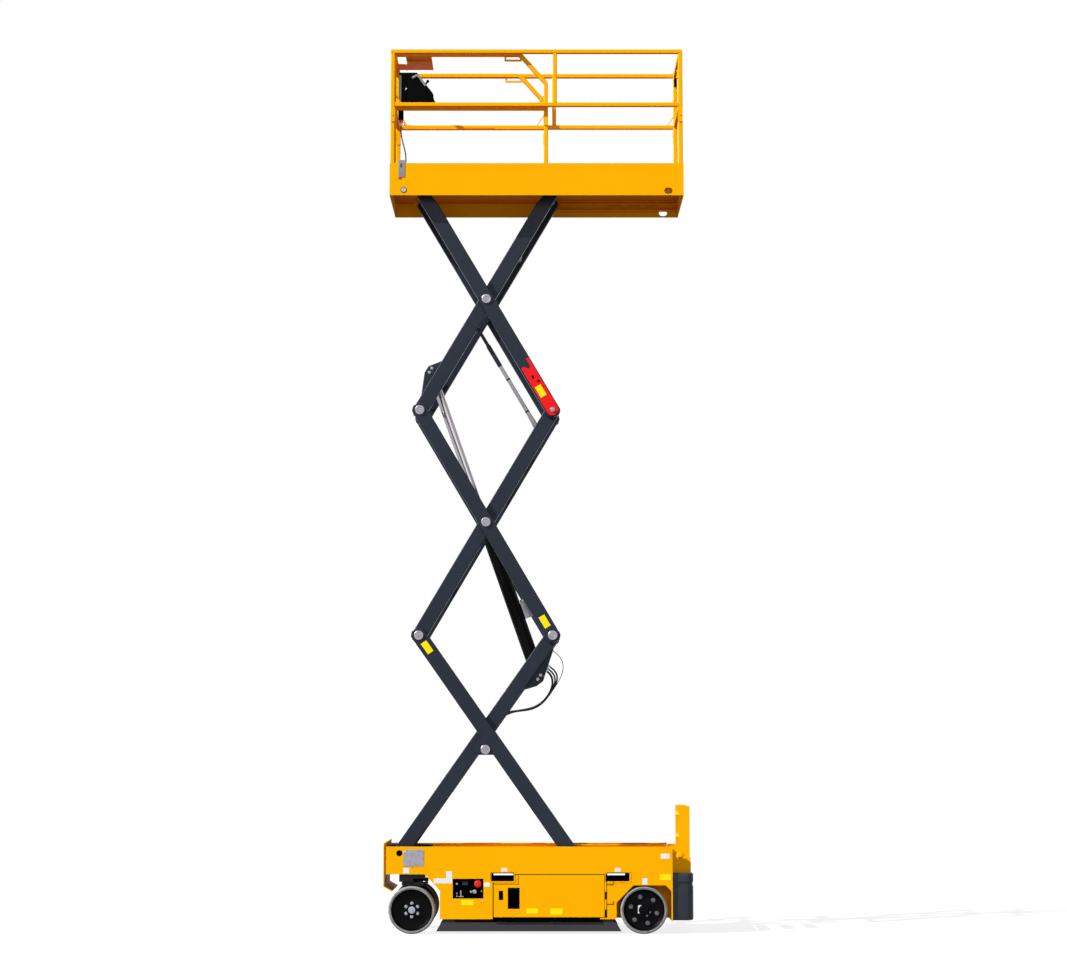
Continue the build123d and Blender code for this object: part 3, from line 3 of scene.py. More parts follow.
import bmesh
import bpy
import numpy as np
from bpy.props import FloatProperty, FloatVectorProperty, PointerProperty
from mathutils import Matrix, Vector


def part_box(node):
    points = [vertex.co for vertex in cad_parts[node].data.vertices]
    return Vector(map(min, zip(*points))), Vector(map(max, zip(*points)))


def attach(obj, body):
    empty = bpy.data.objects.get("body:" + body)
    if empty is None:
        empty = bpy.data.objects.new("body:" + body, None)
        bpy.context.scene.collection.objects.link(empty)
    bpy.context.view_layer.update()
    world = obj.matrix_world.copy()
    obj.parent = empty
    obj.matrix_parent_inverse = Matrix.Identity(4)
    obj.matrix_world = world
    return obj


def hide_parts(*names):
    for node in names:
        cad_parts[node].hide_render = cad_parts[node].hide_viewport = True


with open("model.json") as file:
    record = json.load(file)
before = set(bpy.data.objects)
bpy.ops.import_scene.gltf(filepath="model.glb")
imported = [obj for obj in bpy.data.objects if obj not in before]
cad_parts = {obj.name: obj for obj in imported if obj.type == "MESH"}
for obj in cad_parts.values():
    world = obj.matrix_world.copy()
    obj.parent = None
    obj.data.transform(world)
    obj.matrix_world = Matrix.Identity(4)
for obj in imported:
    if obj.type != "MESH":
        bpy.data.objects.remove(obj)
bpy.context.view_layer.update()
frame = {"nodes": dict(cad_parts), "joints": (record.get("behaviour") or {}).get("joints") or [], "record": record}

bl_info = {
    "name": "Scissor Lift",
    "version": (1, 0, 0),
    "blender": (4, 5, 0),
    "location": "View3D > Sidebar > Scissor Lift",
    "description": "Dresses the scissor lift's frame with tubes, wheels, hoses, fittings and paint",
    "category": "Object",
}


# ---------------------------------------------------------------- places read from the frame
def seen(*names):
    """Joints' places in the X-Z plane, in which the arms turn."""
    return [PIVOT[n][[0, 2]] for n in names]


def unit(v):
    """A vector divided by its length."""
    return v / np.linalg.norm(v)


PIVOT = {j["name"]: np.array(j["pos_m"], float) for j in frame["joints"] if "pos_m" in j}
FOOT, LOW_EYE, LINK_FOOT = seen("lift", "cylinder_pivot", "link_pivot")
CENTRES = seen("centre_1", "centre_2", "centre_3")
LEFTS = seen("end_1", "end_2", "platform_pivot")
RIGHTS = [np.array([2 * CENTRES[0][0] - p[0], p[1]]) for p in LEFTS]
ROLLER_FOOT = np.array([2 * CENTRES[0][0] - FOOT[0], FOOT[1]])
STROKE = next(np.array(j["axis"], float) for j in frame["joints"] if j["name"] == "cylinder_stroke")[[0, 2]]
RAIL_FOOT, RAIL_TOP = (corner.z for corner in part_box("guardrails"))
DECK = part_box("socket_box")[1].z - 0.1623
HALF_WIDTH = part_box("tyre_rear_far")[1].y
OUT = (0, -1, 0)


# ---------------------------------------------------------------- surfaces
def mm(*values, k=2):
    """Rows of k numbers given in millimetres, as an array in metres."""
    return np.reshape(values, (-1, k)) / 1000


def skin(rings, closed=False):
    """Surface through a row of rings: point (i, j) is ring i's point j, and each ring closes on itself.
    Returns points and faces.  The two end rings are capped unless the row closes on itself too."""
    rings = np.asarray(rings, float)
    m, n = rings.shape[:2]
    i = np.arange(m if closed else m - 1)[:, None]
    j = np.arange(n)[None, :]
    k = (j + 1) % n
    quads = np.stack([i * n + j, i * n + k, (i + 1) % m * n + k, (i + 1) % m * n + j], -1).reshape(-1, 4)
    faces = quads.tolist()
    if not closed:
        faces += [np.arange(n)[::-1].tolist(), (np.arange(n) + (m - 1) * n).tolist()]
    return rings.reshape(-1, 3), faces


def upright(outline, y):
    """Ring in space from an X-Z outline and one Y."""
    return np.stack([outline[:, 0], np.full(len(outline), y), outline[:, 1]], -1)


def round_rect(w, h, r, k=3, keep=0.0012):
    """Closed outline of a w by h rectangle whose corners are arcs of radius r, k steps each, with a point
    a little way along the flat on each side of every arc, which keeps the flats' shading flat."""
    a = np.linspace(0, np.pi / 2, k + 1)
    corner = np.stack([np.cos(a), np.sin(a)], -1) * r
    corner = np.concatenate([corner[:1] - [0, keep], corner, corner[-1:] - [keep, 0]])
    turn = np.array([[0.0, -1.0], [1.0, 0.0]])
    return np.concatenate([corner @ np.linalg.matrix_power(turn, i).T + [sx * (w / 2 - r), sy * (h / 2 - r)]
                           for i, (sx, sy) in enumerate(((1, 1), (-1, 1), (-1, -1), (1, -1)))])


def circle(r, n):
    """Outline of a circle: r times cosine and sine of n equal turns."""
    a = np.arange(n) * 2 * np.pi / n
    return np.stack([np.cos(a), np.sin(a)], -1) * r


def across(direction):
    """A direction's unit vector and two more, square to it and to each other."""
    d = unit(np.asarray(direction, float))
    helper = np.array([0.0, 0.0, 1.0]) if abs(d[2]) < 0.9 else np.array([1.0, 0.0, 0.0])
    e1 = unit(np.cross(helper, d))
    return d, e1, np.cross(d, e1)


def turned(origin, direction, profile, n=32, closed=False):
    """Surface of revolution: each profile point (radius, height) sweeps a circle about the direction."""
    d, e1, e2 = across(direction)
    ring = circle(1.0, n)
    p = np.asarray(profile, float)
    circles = p[:, 0, None, None] * (ring[None, :, 0, None] * e1 + ring[None, :, 1, None] * e2)
    return skin(np.asarray(origin, float) + p[:, 1, None, None] * d + circles, closed)


def stud(x, y, z, out, r, h, top, tip, n):
    """Low round head: a straight side, then a cone up to a smaller flat top."""
    return turned((x, y, z), out, [(r, 0), (r, h), (top, tip)], n)


def bar(a, b, r, n=12, ease=0.0):
    """Round bar between two points, its ends eased by a small cone."""
    a, b = np.asarray(a, float), np.asarray(b, float)
    length = np.linalg.norm(b - a)
    e = min(ease, length / 3)
    profile = [(r - e, 0), (r, e), (r, length - e), (r - e, length)] if e else [(r, 0), (r, length)]
    return turned(a, b - a, profile, n)


def bolt(origin, direction, r, washer=True):
    """Hexagonal head, six-sided rings that narrow at the top, on a low round washer."""
    d, e1, e2 = across(direction)
    base = np.asarray(origin, float)
    foot, high, wide, thick = base + np.asarray(direction, float) * r * 0.25, r * 0.8, r * 1.45, r * 0.28
    ring = circle(1.0, 6)
    flat = ring[:, :1] * e1 + ring[:, 1:] * e2
    parts = [skin([foot + q * flat + z * d for q, z in ((r, 0), (r, high * 0.8), (r * 0.86, high))])]
    if washer:
        ease = r * 0.08
        parts.append(turned(base, d, [(wide, 0), (wide, thick - ease), (wide - ease, thick)], 20))
    return parts


def soft_box(low, high, r, k=2):
    """Rounded box: the unit sphere's octants moved apart, point = sign * (half - r) + r * direction."""
    low, high = np.minimum(low, high), np.maximum(low, high)
    half, centre = (high - low) / 2, (high + low) / 2
    r = min(r, half.min() * 0.999)
    arc = np.linspace(0, 90, k + 1)
    lat = np.radians(np.concatenate([arc - 90, arc]))[:, None]
    lon = np.radians(np.concatenate([arc + q * 90 for q in range(4)]))
    signs = (np.repeat([1, -1, -1, 1], k + 1), np.repeat([1, 1, -1, -1], k + 1),
             np.repeat([-1, 1], k + 1)[:, None])
    ways = np.cos(lat) * np.cos(lon), np.cos(lat) * np.sin(lon), np.sin(lat) + 0 * lon
    return skin(np.stack([centre[i] + signs[i] * (half[i] - r) + r * ways[i] for i in range(3)], -1))


def pulled_in(outline, amount):
    """A closed outline with each side moved inwards by an amount, along its corners' mitres."""
    p = np.asarray(outline, float)
    area = np.sum(p[:, 0] * np.roll(p[:, 1], -1) - np.roll(p[:, 0], -1) * p[:, 1])
    side = np.roll(p, -1, 0) - p
    side /= np.linalg.norm(side, axis=1)[:, None]
    normal = np.stack([-side[:, 1], side[:, 0]], -1) * (1 if area > 0 else -1)
    mitre = normal + np.roll(normal, 1, 0)
    mitre /= np.maximum((mitre * np.roll(normal, 1, 0)).sum(1), 0.3)[:, None]
    return p + mitre * amount


def slab(outline, y0, y1, ease=0.001, k=1):
    """Plate whose X-Z outline is carried from one Y plane to another.  Its edges are quarter rounds in k
    steps: the outline moves in by ease * (1 - sin t) while Y moves in by ease * (1 - cos t).  One more
    ring inside each face keeps its shading flat."""
    y0, y1 = sorted((y0, y1))
    steps = [(ease * (1 - np.sin(a)), ease * (1 - np.cos(a))) for a in np.linspace(0, np.pi / 2, k + 1)]
    if k > 1:
        steps = [(ease * 1.25, 0.0)] + steps
    rows = [(inset, y0 + deep) for inset, deep in steps] + [(inset, y1 - deep) for inset, deep in steps[::-1]]
    return skin([upright(pulled_in(outline, inset), y) for inset, y in rows])


def rounded(outline, r, k=4):
    """Closed outline with each corner replaced by an arc that touches both of its sides."""
    p = np.asarray(outline, float)
    before, after = np.roll(p, 1, 0) - p, np.roll(p, -1, 0) - p
    lb, la = np.linalg.norm(before, axis=1), np.linalg.norm(after, axis=1)
    u, v = before / lb[:, None], after / la[:, None]
    half = np.arccos(np.clip((u * v).sum(1), -1, 1)) / 2
    cut = np.minimum(r / np.tan(half), np.minimum(lb, la) * 0.48)
    t = np.linspace(0, 1, k + 1)[None, :, None]
    a, c = p + u * cut[:, None], p + v * cut[:, None]
    curve = (1 - t) ** 2 * a[:, None] + 2 * t * (1 - t) * p[:, None] + t ** 2 * c[:, None]
    return curve.reshape(-1, 2)


def oblong(x0, x1, z0, z1, r=0.0):
    """Upright rectangle's outline, with its corners rounded where a radius is given."""
    outline = np.array([(x0, z0), (x1, z0), (x1, z1), (x0, z1)])
    return rounded(outline, r) if r else outline


def bent(path, r, k=5):
    """Open path in space with an arc-like bend of radius r at each inner corner."""
    p = np.asarray(path, float)
    rows = [p[:1]]
    t = np.linspace(0, 1, k + 1)[:, None]
    for a, b, c in zip(p[:-2], p[1:-1], p[2:]):
        u, v = unit(a - b), unit(c - b)
        cut = r / np.tan(np.arccos(np.clip(u @ v, -1, 1)) / 2)
        middle = 2 * np.sqrt(0.5) * t * (1 - t)
        arc = (1 - t) ** 2 * (b + u * cut) + middle * b + t ** 2 * (b + v * cut)
        rows.append(arc / ((1 - t) ** 2 + middle + t ** 2))
    rows.append(p[-1:])
    return np.concatenate(rows)


def carried(path, profile, normal=(0, 1, 0)):
    """Profile carried along a path in a plane: its first axis stays square to the path in the plane,
    its second along the plane's normal, and corners are mitred."""
    p, profile, normal = np.asarray(path, float), np.asarray(profile, float), np.asarray(normal, float)
    run = np.diff(p, axis=0)
    run /= np.linalg.norm(run, axis=1)[:, None]
    first, second = np.concatenate([run[:1], run]), np.concatenate([run, run[-1:]])
    tangent = first + second
    tangent /= np.linalg.norm(tangent, axis=1)[:, None]
    side = np.cross(normal, tangent) / (tangent * second).sum(1)[:, None]
    return skin(p[:, None] + profile[None, :, :1] * side[:, None] + profile[None, :, 1:] * normal)


def closed_tube(path, r, n=8):
    """Round tube along a closed upright path: each ring is square to the path's local direction."""
    tangent = np.roll(path, -1, 0) - np.roll(path, 1, 0)
    tangent /= np.linalg.norm(tangent, axis=1)[:, None]
    side = np.cross((0, 1, 0), tangent)
    ring = circle(r, n)
    return skin(path[:, None] + ring[None, :, :1] * side[:, None]
                + ring[None, :, 1:] * np.array([0, 1.0, 0]), True)


def around(outline, centre, n):
    """Points where n equally spaced rays from a centre leave an outline."""
    p = np.asarray(outline, float) - centre
    e = np.roll(p, -1, 0) - p
    a = np.linspace(0, 2 * np.pi, n, endpoint=False) + 0.013
    d = np.stack([np.cos(a), np.sin(a)], -1)
    cross = d[:, None, 0] * e[None, :, 1] - d[:, None, 1] * e[None, :, 0]
    cross = np.where(np.abs(cross) < 1e-12, 1e-12, cross)
    t = (p[None, :, 0] * e[None, :, 1] - p[None, :, 1] * e[None, :, 0]) / cross
    u = (p[None, :, 0] * d[:, None, 1] - p[None, :, 1] * d[:, None, 0]) / cross
    t = np.where((u >= -1e-9) & (u <= 1 + 1e-9) & (t > 0), t, np.inf)
    return centre + d * t.min(1)[:, None]


def plate_with_hole(outer, inner, y0, y1, n=96):
    """Plate between two outlines, both met by the same rays from the hole's middle and joined round a
    square section, so the sheet's edge shows its thickness inside the hole too."""
    centre = inner.mean(0)
    a, b = around(outer, centre, n), around(inner, centre, n)
    return skin([upright(b, y0), upright(a, y0), upright(a, y1), upright(b, y1)], True)


def film(x0, x1, z0, z1, y, side=-1, t=0.0008):
    """Thin blank plate stuck on a face that looks along side * Y."""
    return slab(oblong(x0, x1, z0, z1), y - side * 0.0002, y + side * t, t * 0.3)


def laid(parts, start, end):
    """Parts drawn along X, turned about Y on to the line between two X-Z points."""
    run = unit(end - start)
    return [(np.column_stack([start[0] + p[:, 0] * run[0] - p[:, 2] * run[1], p[:, 1],
                              start[1] + p[:, 0] * run[1] + p[:, 2] * run[0]]), faces) for p, faces in parts]


def both(parts):
    """Parts and their mirror images in the X-Z plane, whose faces are turned back outwards."""
    return parts + [(points * [1, -1, 1], [f[::-1] for f in faces]) for points, faces in parts]


def make_piece(name, parts, body, finish, stands_for=None, sharp=35.0):
    """One object from several closed surfaces: seams merged, faces outwards, placed in its mesh."""
    points, faces, start = [], [], 0
    for p, f in parts:
        points.append(p)
        faces += [[i + start for i in face] for face in f]
        start += len(p)
    mesh = bpy.data.meshes.new(name)
    mesh.from_pydata(np.concatenate(points).tolist(), [], faces)
    work = bmesh.new()
    work.from_mesh(mesh)
    bmesh.ops.remove_doubles(work, verts=work.verts, dist=1e-6)
    bmesh.ops.dissolve_degenerate(work, dist=1e-7, edges=work.edges)
    bmesh.ops.recalc_face_normals(work, faces=work.faces)
    work.to_mesh(mesh)
    work.free()
    mesh.shade_smooth()
    mesh.set_sharp_from_angle(angle=np.radians(sharp))
    piece = bpy.data.objects.new(name, mesh)
    bpy.context.collection.objects.link(piece)
    mesh.materials.append(material(finish))
    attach(piece, body)
    if stands_for:
        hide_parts(stands_for)
    return piece


# ---------------------------------------------------------------- finishes
class Nodes:
    """A node tree under construction, with a short way to add and join nodes."""

    def __init__(self, tree):
        self.tree = tree

    def add(self, kind, props=None, **inputs):
        node = self.tree.nodes.new("ShaderNode" + kind)
        for key, value in (props or {}).items():
            setattr(node, key, value)
        for key, value in inputs.items():
            socket = node.inputs[int(key[1:]) if key[1:].isdigit() else key.replace("_", " ")]
            if isinstance(value, bpy.types.NodeSocket):
                self.tree.links.new(value, socket)
            else:
                socket.default_value = value
        return node

    def maths(self, operation, a, b):
        return self.add("Math", {"operation": operation}, i0=a, i1=b).outputs[0]

    def backdrop_rays(self):
        """1 for what the camera, mirrors and glass show, and 0 for the light that falls on the lift."""
        path = self.add("LightPath").outputs
        shown = self.maths("MAXIMUM", path["Is Camera Ray"], path["Is Glossy Ray"])
        return self.maths("MAXIMUM", shown, path["Is Transmission Ray"])


class Look(Nodes):
    """A piece's material under construction."""

    def __init__(self, name, **sockets):
        self.material = bpy.data.materials.new(name)
        self.material.use_nodes = True
        super().__init__(self.material.node_tree)
        self.shader = self.tree.nodes["Principled BSDF"]
        for socket, value in sockets.items():
            self.shader.inputs[socket.replace("_", " ")].default_value = value
        self.place = self.tree.nodes.new("ShaderNodeTexCoord").outputs["Object"]

    def noise(self, scale, detail=4.0, stretch=None):
        place = self.add("Mapping", Vector=self.place, Scale=stretch).outputs[0] if stretch else self.place
        return self.add("TexNoise", Vector=place, Scale=scale, Detail=detail).outputs[0]

    def span(self, value, low, high, to_low=0.0, to_high=1.0):
        node = self.add("MapRange", Value=value, From_Min=low, From_Max=high, To_Min=to_low, To_Max=to_high)
        return node.outputs[0]

    def blend(self, factor, a, b):
        return self.add("Mix", {"data_type": "RGBA"}, i0=factor, i6=a, i7=b).outputs[2]

    def times(self, a, b):
        return self.maths("MULTIPLY", a, b)

    def colour(self, socket):
        self.tree.links.new(socket, self.shader.inputs["Base Color"])

    def rough(self, value, to_low, to_high, low=0.0, high=1.0):
        self.tree.links.new(self.span(value, low, high, to_low, to_high), self.shader.inputs["Roughness"])

    def bump(self, height, strength, distance):
        node = self.add("Bump", Height=height, Strength=strength, Distance=distance)
        self.tree.links.new(node.outputs[0], self.shader.inputs["Normal"])
        return self.material

    def upward(self, low=0.4, high=1.0):
        """How far the surface faces up, where dust settles; read from -0.3 to -0.9 it says how far the
        surface faces down, where paint() puts painted shade.
        """
        geometry = self.tree.nodes.new("ShaderNodeNewGeometry")
        return self.span(self.add("SeparateXYZ", Vector=geometry.outputs["Normal"]).outputs[2], low, high)


def linear(r, g, b):
    """Colour written in the usual 0 to 255 steps, made linear."""
    c = np.array([r, g, b]) / 255
    out = np.where(c <= 0.04045, c / 12.92, ((c + 0.055) / 1.055) ** 2.4)
    return (*out.tolist(), 1.0)


def paint(name, base, shade, rough, gloss, under=None, dust=(190, 184, 172), dust_amount=0.05):
    """Powder coat: slow drift of tone, orange peel, dust on what faces up, painted shade (a deeper
    tone) on what faces down and a few fine scuffs."""
    look = Look(name, Specular_IOR_Level=gloss)
    drift = look.span(look.noise(1.7, 3.0), 0.35, 0.65)
    tone = look.blend(look.times(drift, 0.5), linear(*base), linear(*shade))
    # painted shade: faces that look down are blended towards the darker under colour
    if under:
        tone = look.blend(look.upward(-0.3, -0.9), tone, linear(*under))
    grime = look.span(look.noise(9.0, 8.0), 0.55, 0.8)
    settled = look.times(look.times(grime, look.upward()), dust_amount * 4)
    tone = look.blend(settled, tone, linear(*dust))
    scuff = look.span(look.noise(14.0, 10.0, (1.0, 1.0, 6.0)), 0.70, 0.74)
    look.colour(look.blend(look.times(scuff, 0.25), tone, linear(*shade)))
    look.rough(look.noise(30.0, 6.0), rough - 0.06, rough + 0.10, 0.3, 0.7)
    return look.bump(look.noise(420.0, 2.0), 0.08, 0.0004)


def rubber(name, base, shade, stained):
    """Non-marking rubber: mottled, with dirt worked into a fine grain."""
    look = Look(name, Specular_IOR_Level=0.15)
    patches = look.span(look.noise(11.0, 8.0), 0.3, 0.7)
    tone = look.blend(patches, linear(*base), linear(*shade))
    stain = look.span(look.noise(46.0, 10.0), 0.52, 0.72)
    look.colour(look.blend(look.times(stain, 0.5), tone, linear(*stained)))
    look.rough(patches, 0.72, 0.9)
    return look.bump(look.noise(260.0, 6.0), 0.3, 0.0012)


def moulded(name, base, shade, rough, grain=700.0, gloss=0.2):
    """Moulded plastic: fine leather-like grain and a slow change of tone."""
    look = Look(name, Specular_IOR_Level=gloss)
    drift = look.span(look.noise(5.0, 4.0), 0.35, 0.65)
    dust = look.times(look.span(look.noise(24.0, 8.0), 0.5, 0.8), look.upward(0.2))
    tone = look.blend(drift, linear(*base), linear(*shade))
    look.colour(look.blend(look.times(dust, 0.12), tone, linear(120, 116, 110)))
    look.rough(drift, rough - 0.06, rough + 0.08)
    return look.bump(look.add("TexVoronoi", Vector=look.place, Scale=grain).outputs[0], 0.18, 0.0004)


def metal(name, base, shade, rough, grain, stretch=None):
    """Bare or plated metal: brushed or mottled roughness, faint stains."""
    look = Look(name, Metallic=1.0)
    mottle = look.span(look.noise(grain, 6.0, stretch), 0.3, 0.7)
    tone = look.blend(mottle, linear(*base), linear(*shade))
    stain = look.span(look.noise(19.0, 9.0), 0.62, 0.8)
    look.colour(look.blend(look.times(stain, 0.3), tone, linear(110, 98, 88)))
    look.rough(mottle, rough, rough + 0.16)
    return look.bump(mottle, 0.05, 0.0003)


def label(name, base):
    """Printed film: even colour with a little yellowing and a scuffed sheen."""
    look = Look(name, Specular_IOR_Level=0.1)
    wear = look.span(look.noise(60.0, 8.0), 0.45, 0.8)
    look.colour(look.blend(look.times(wear, 0.12), linear(*base), linear(170, 160, 140)))
    look.rough(wear, 0.3, 0.55)
    return look.material


def woven(name, base, shade):
    """Hydraulic hose: black rubber with a fine wrapped weave."""
    look = Look(name, Specular_IOR_Level=0.2)
    drift = look.span(look.noise(30.0, 6.0), 0.3, 0.7)
    look.colour(look.blend(drift, linear(*base), linear(*shade)))
    look.rough(drift, 0.45, 0.65)
    return look.bump(look.noise(900.0, 2.0), 0.25, 0.0005)


FINISHES = {
    # finish: slot, kind, the material's name, tone, second tone and what else the kind takes.  A slot's first
    # finish is the one its CAD nodes get.
    # the yellow's last colour, (196, 100, 0), is painted shade for faces that look down
    "yellow": ("yellow_paint", paint, "yellow powder coat", (255, 181, 0), (252, 174, 0), 0.45, 0.03,
               (196, 100, 0)),
    "anthracite": ("arm_paint", paint, "anthracite arm paint", (36, 43, 56), (29, 35, 47), 0.34, 0.14, None,
                   (100, 102, 108), 0.02),
    "black": ("black_paint", paint, "black paint", (26, 26, 29), (20, 20, 23), 0.42, 0.12, None,
              (70, 68, 66), 0.02),
    "guard_paint": ("black_paint", paint, "dark grey guard paint", (62, 61, 67), (56, 55, 60), 0.45, 0.1,
                    None, (80, 78, 76), 0.02),
    "deep_black": ("black_paint", paint, "deep black paint", (7, 7, 8), (4, 4, 5), 0.36, 0.05, None,
                   (40, 40, 40), 0.01),
    "red": ("red_paint", paint, "red prop paint", (244, 26, 30), (222, 18, 24), 0.40, 0.12),
    "rubber": ("grey_tyre", rubber, "grey tyre rubber", (156, 154, 154), (128, 126, 125), (84, 81, 80)),
    "slate": ("slate_plastic", moulded, "slate cover plastic", (43, 50, 59), (37, 43, 52), 0.42),
    "black_plastic": ("black_plastic", moulded, "black plastic", (4, 4, 5), (3, 3, 4), 0.5, 700.0, 0.03),
    "red_plastic": ("red_plastic", moulded, "red stop knob", (222, 40, 24), (196, 26, 18), 0.3, 1200.0),
    "battery_case": ("battery_case", moulded, "battery case", (44, 44, 47), (34, 34, 36), 0.55),
    "zinc": ("zinc", metal, "zinc plate", (160, 157, 165), (138, 136, 144), 0.36, 40.0),
    "bright": ("bright_rod", metal, "hard chrome", (176, 172, 176), (158, 154, 160), 0.12, 900.0,
               (1.0, 1.0, 0.02)),
    "dull_zinc": ("zinc", metal, "dull zinc", (168, 172, 184), (140, 144, 156), 0.40, 60.0),
    "dark_steel": ("zinc", metal, "dark steel bolts", (104, 106, 114), (78, 80, 88), 0.42, 60.0),
    "orange_ring": ("red_plastic", moulded, "orange ring", (235, 96, 30), (214, 78, 22), 0.45),
    "grey_conduit": ("zinc", moulded, "grey conduit", (160, 156, 160), (138, 135, 140), 0.48),
    "white_label": ("zinc", label, "white film", (238, 238, 236)),
    "yellow_label": ("yellow_paint", label, "bright yellow film", (255, 232, 0)),
    # near-black: the colour of some dark parts, and painted shade in gaps, recesses, holes and the fork pockets
    "dark_inside": ("black_plastic", moulded, "dark recess", (5, 5, 5), (3, 3, 3), 0.7, 700.0, 0.0),
    "hose_rubber": ("hose_rubber", woven, "hose rubber", (13, 13, 14), (22, 22, 22)),
}
SLOT_FINISH = {row[0]: name for name, row in reversed(FINISHES.items())}
MATERIALS = {}


def material(finish):
    """A finish's material, made once so that every piece shares it."""
    if finish not in MATERIALS:
        _, kind, *values = FINISHES[finish]
        MATERIALS[finish] = kind(*values)
    return MATERIALS[finish]


# ---------------------------------------------------------------- sizes and colours
def metres(name, description, default):
    """Setting that is a length in metres."""
    return FloatProperty(name=name, description=description, default=default, unit="LENGTH")


def power(name, description, default):
    """Setting that is a light's strength, for which no unit fits."""
    return FloatProperty(name=name, description=description, default=default, min=0)


class LiftSizes(bpy.types.PropertyGroup):
    tube_depth: metres("Arm depth", "Depth of an arm's tube", 0.118)
    tube_edge: metres("Arm edge", "Radius of an arm tube's long edges", 0.007)
    rail: metres("Rail", "Width of the guardrail tubes", 0.034)
    rail_edge: metres("Rail edge", "Radius of a rail's edges", 0.005)
    pin_head: metres("Pin head", "Radius of the pivot pins' heads", 0.038)


class LiftStage(bpy.types.PropertyGroup):
    key: power("Key", "Strength of the sun from the upper left", 6.2)
    fill: power("Fill", "Strength of the soft light from the front", 0.34)
    sky: power("Sky", "Strength of the light from all round", 0.25)
    floor: FloatVectorProperty(name="Floor", description="Colour of the floor and the background",
                               default=(1.0, 1.0, 1.0), subtype="COLOR")


# ---------------------------------------------------------------- arms
INNER_Y = 0.195
OUTER_Y = 0.250
ARM_ROWS = (
    # name, lower pivot, upper pivot, inner side Y, slim side, centre pivot, cross tubes from the middle
    ("arm_a1", FOOT, RIGHTS[0], INNER_Y, 0, CENTRES[0], (-0.75, -0.3)),
    ("arm_b1", ROLLER_FOOT, LEFTS[0], OUTER_Y, 0, CENTRES[0], ()),
    ("arm_a2", LEFTS[0], RIGHTS[1], INNER_Y, 0, CENTRES[1], (-0.6, 0.6)),
    ("arm_b2", RIGHTS[0], LEFTS[1], OUTER_Y, 0, CENTRES[1], ()),
    ("arm_a3", LEFTS[1], RIGHTS[2], INNER_Y, 1, CENTRES[2], (0.5,)),
    ("arm_b3", RIGHTS[1], LEFTS[2], OUTER_Y, -1, CENTRES[2], ()),
)
TUBE_WIDTH = 0.050
OUTER_FACE = OUTER_Y + TUBE_WIDTH
OVERHANG = 0.058
CHAMFER = 0.030
PIN_R = 0.025
BRACKET_Y = 0.315
BRACKET_T = 0.022
EYE_ALONG = 0.340
LOW_EYE_OFF = 0.103
HIGH_EYE_OFF = 0.095
EYE_R = 0.042
EYE_PIN_R = 0.028
EYE_PLATE_T = 0.012


def seen_along(point, low, high):
    """A place in the X-Z plane as (along, off) in the frame that runs from one pivot to the other."""
    run, rel = unit(high - low), point - low
    return rel @ run, rel @ np.array([-run[1], run[0]])


def arm_outline(length, h, slim):
    """Side view of an arm's tube: chamfered ends, and a slim end on the side that the deck comes down to."""
    side = slim or 1
    cut, end = OVERHANG - CHAMFER, length + OVERHANG
    points = [(-OVERHANG, -side * (h - CHAMFER)), (-OVERHANG, side * (h - CHAMFER)), (-cut, side * h)]
    if slim:
        tip = 0.034
        points += [(length - 0.175, side * h), (length, side * tip), (length + tip, side * tip * 0.4),
                   (length + tip, -side * tip), (length + tip * 0.4, -side * h)]
    else:
        points += [(end - CHAMFER, h), (end, h - CHAMFER), (end, CHAMFER - h), (end - CHAMFER, -h)]
    points.append((-cut, -side * h))
    return rounded(points, 0.012, 3)


def pin_head(along, off, y, r):
    """Thick washer with a sunk ring and a bolt in its middle, standing on a face that looks along -Y."""
    rows = [(r, 0), (r, 0.0085), (r - 0.003, 0.0108), (r * 0.56, 0.0112), (r * 0.50, 0.0085),
            (r * 0.33, 0.0085), (r * 0.32, 0.0112), (r * 0.25, 0.0116), (r * 0.12, 0.0116),
            (r * 0.10, 0.0085)]
    return turned((along, y, off), OUT, rows, 40)


def roller(along, side):
    """Flanged roller with a rounded tread."""
    rows = mm(27, 0, 30, 1, 32, 4, 32, 28, 30, 31, 27, 32)
    return turned((along, side * BRACKET_Y, 0), (0, side, 0), rows, 32)


def eye_plate(outline):
    """Rounded plate on the inner side of each tube, which carries one end of the cylinder."""
    return both([slab(rounded(outline, 0.030), INNER_Y - EYE_PLATE_T, INNER_Y + 0.001, 0.002, 2)])


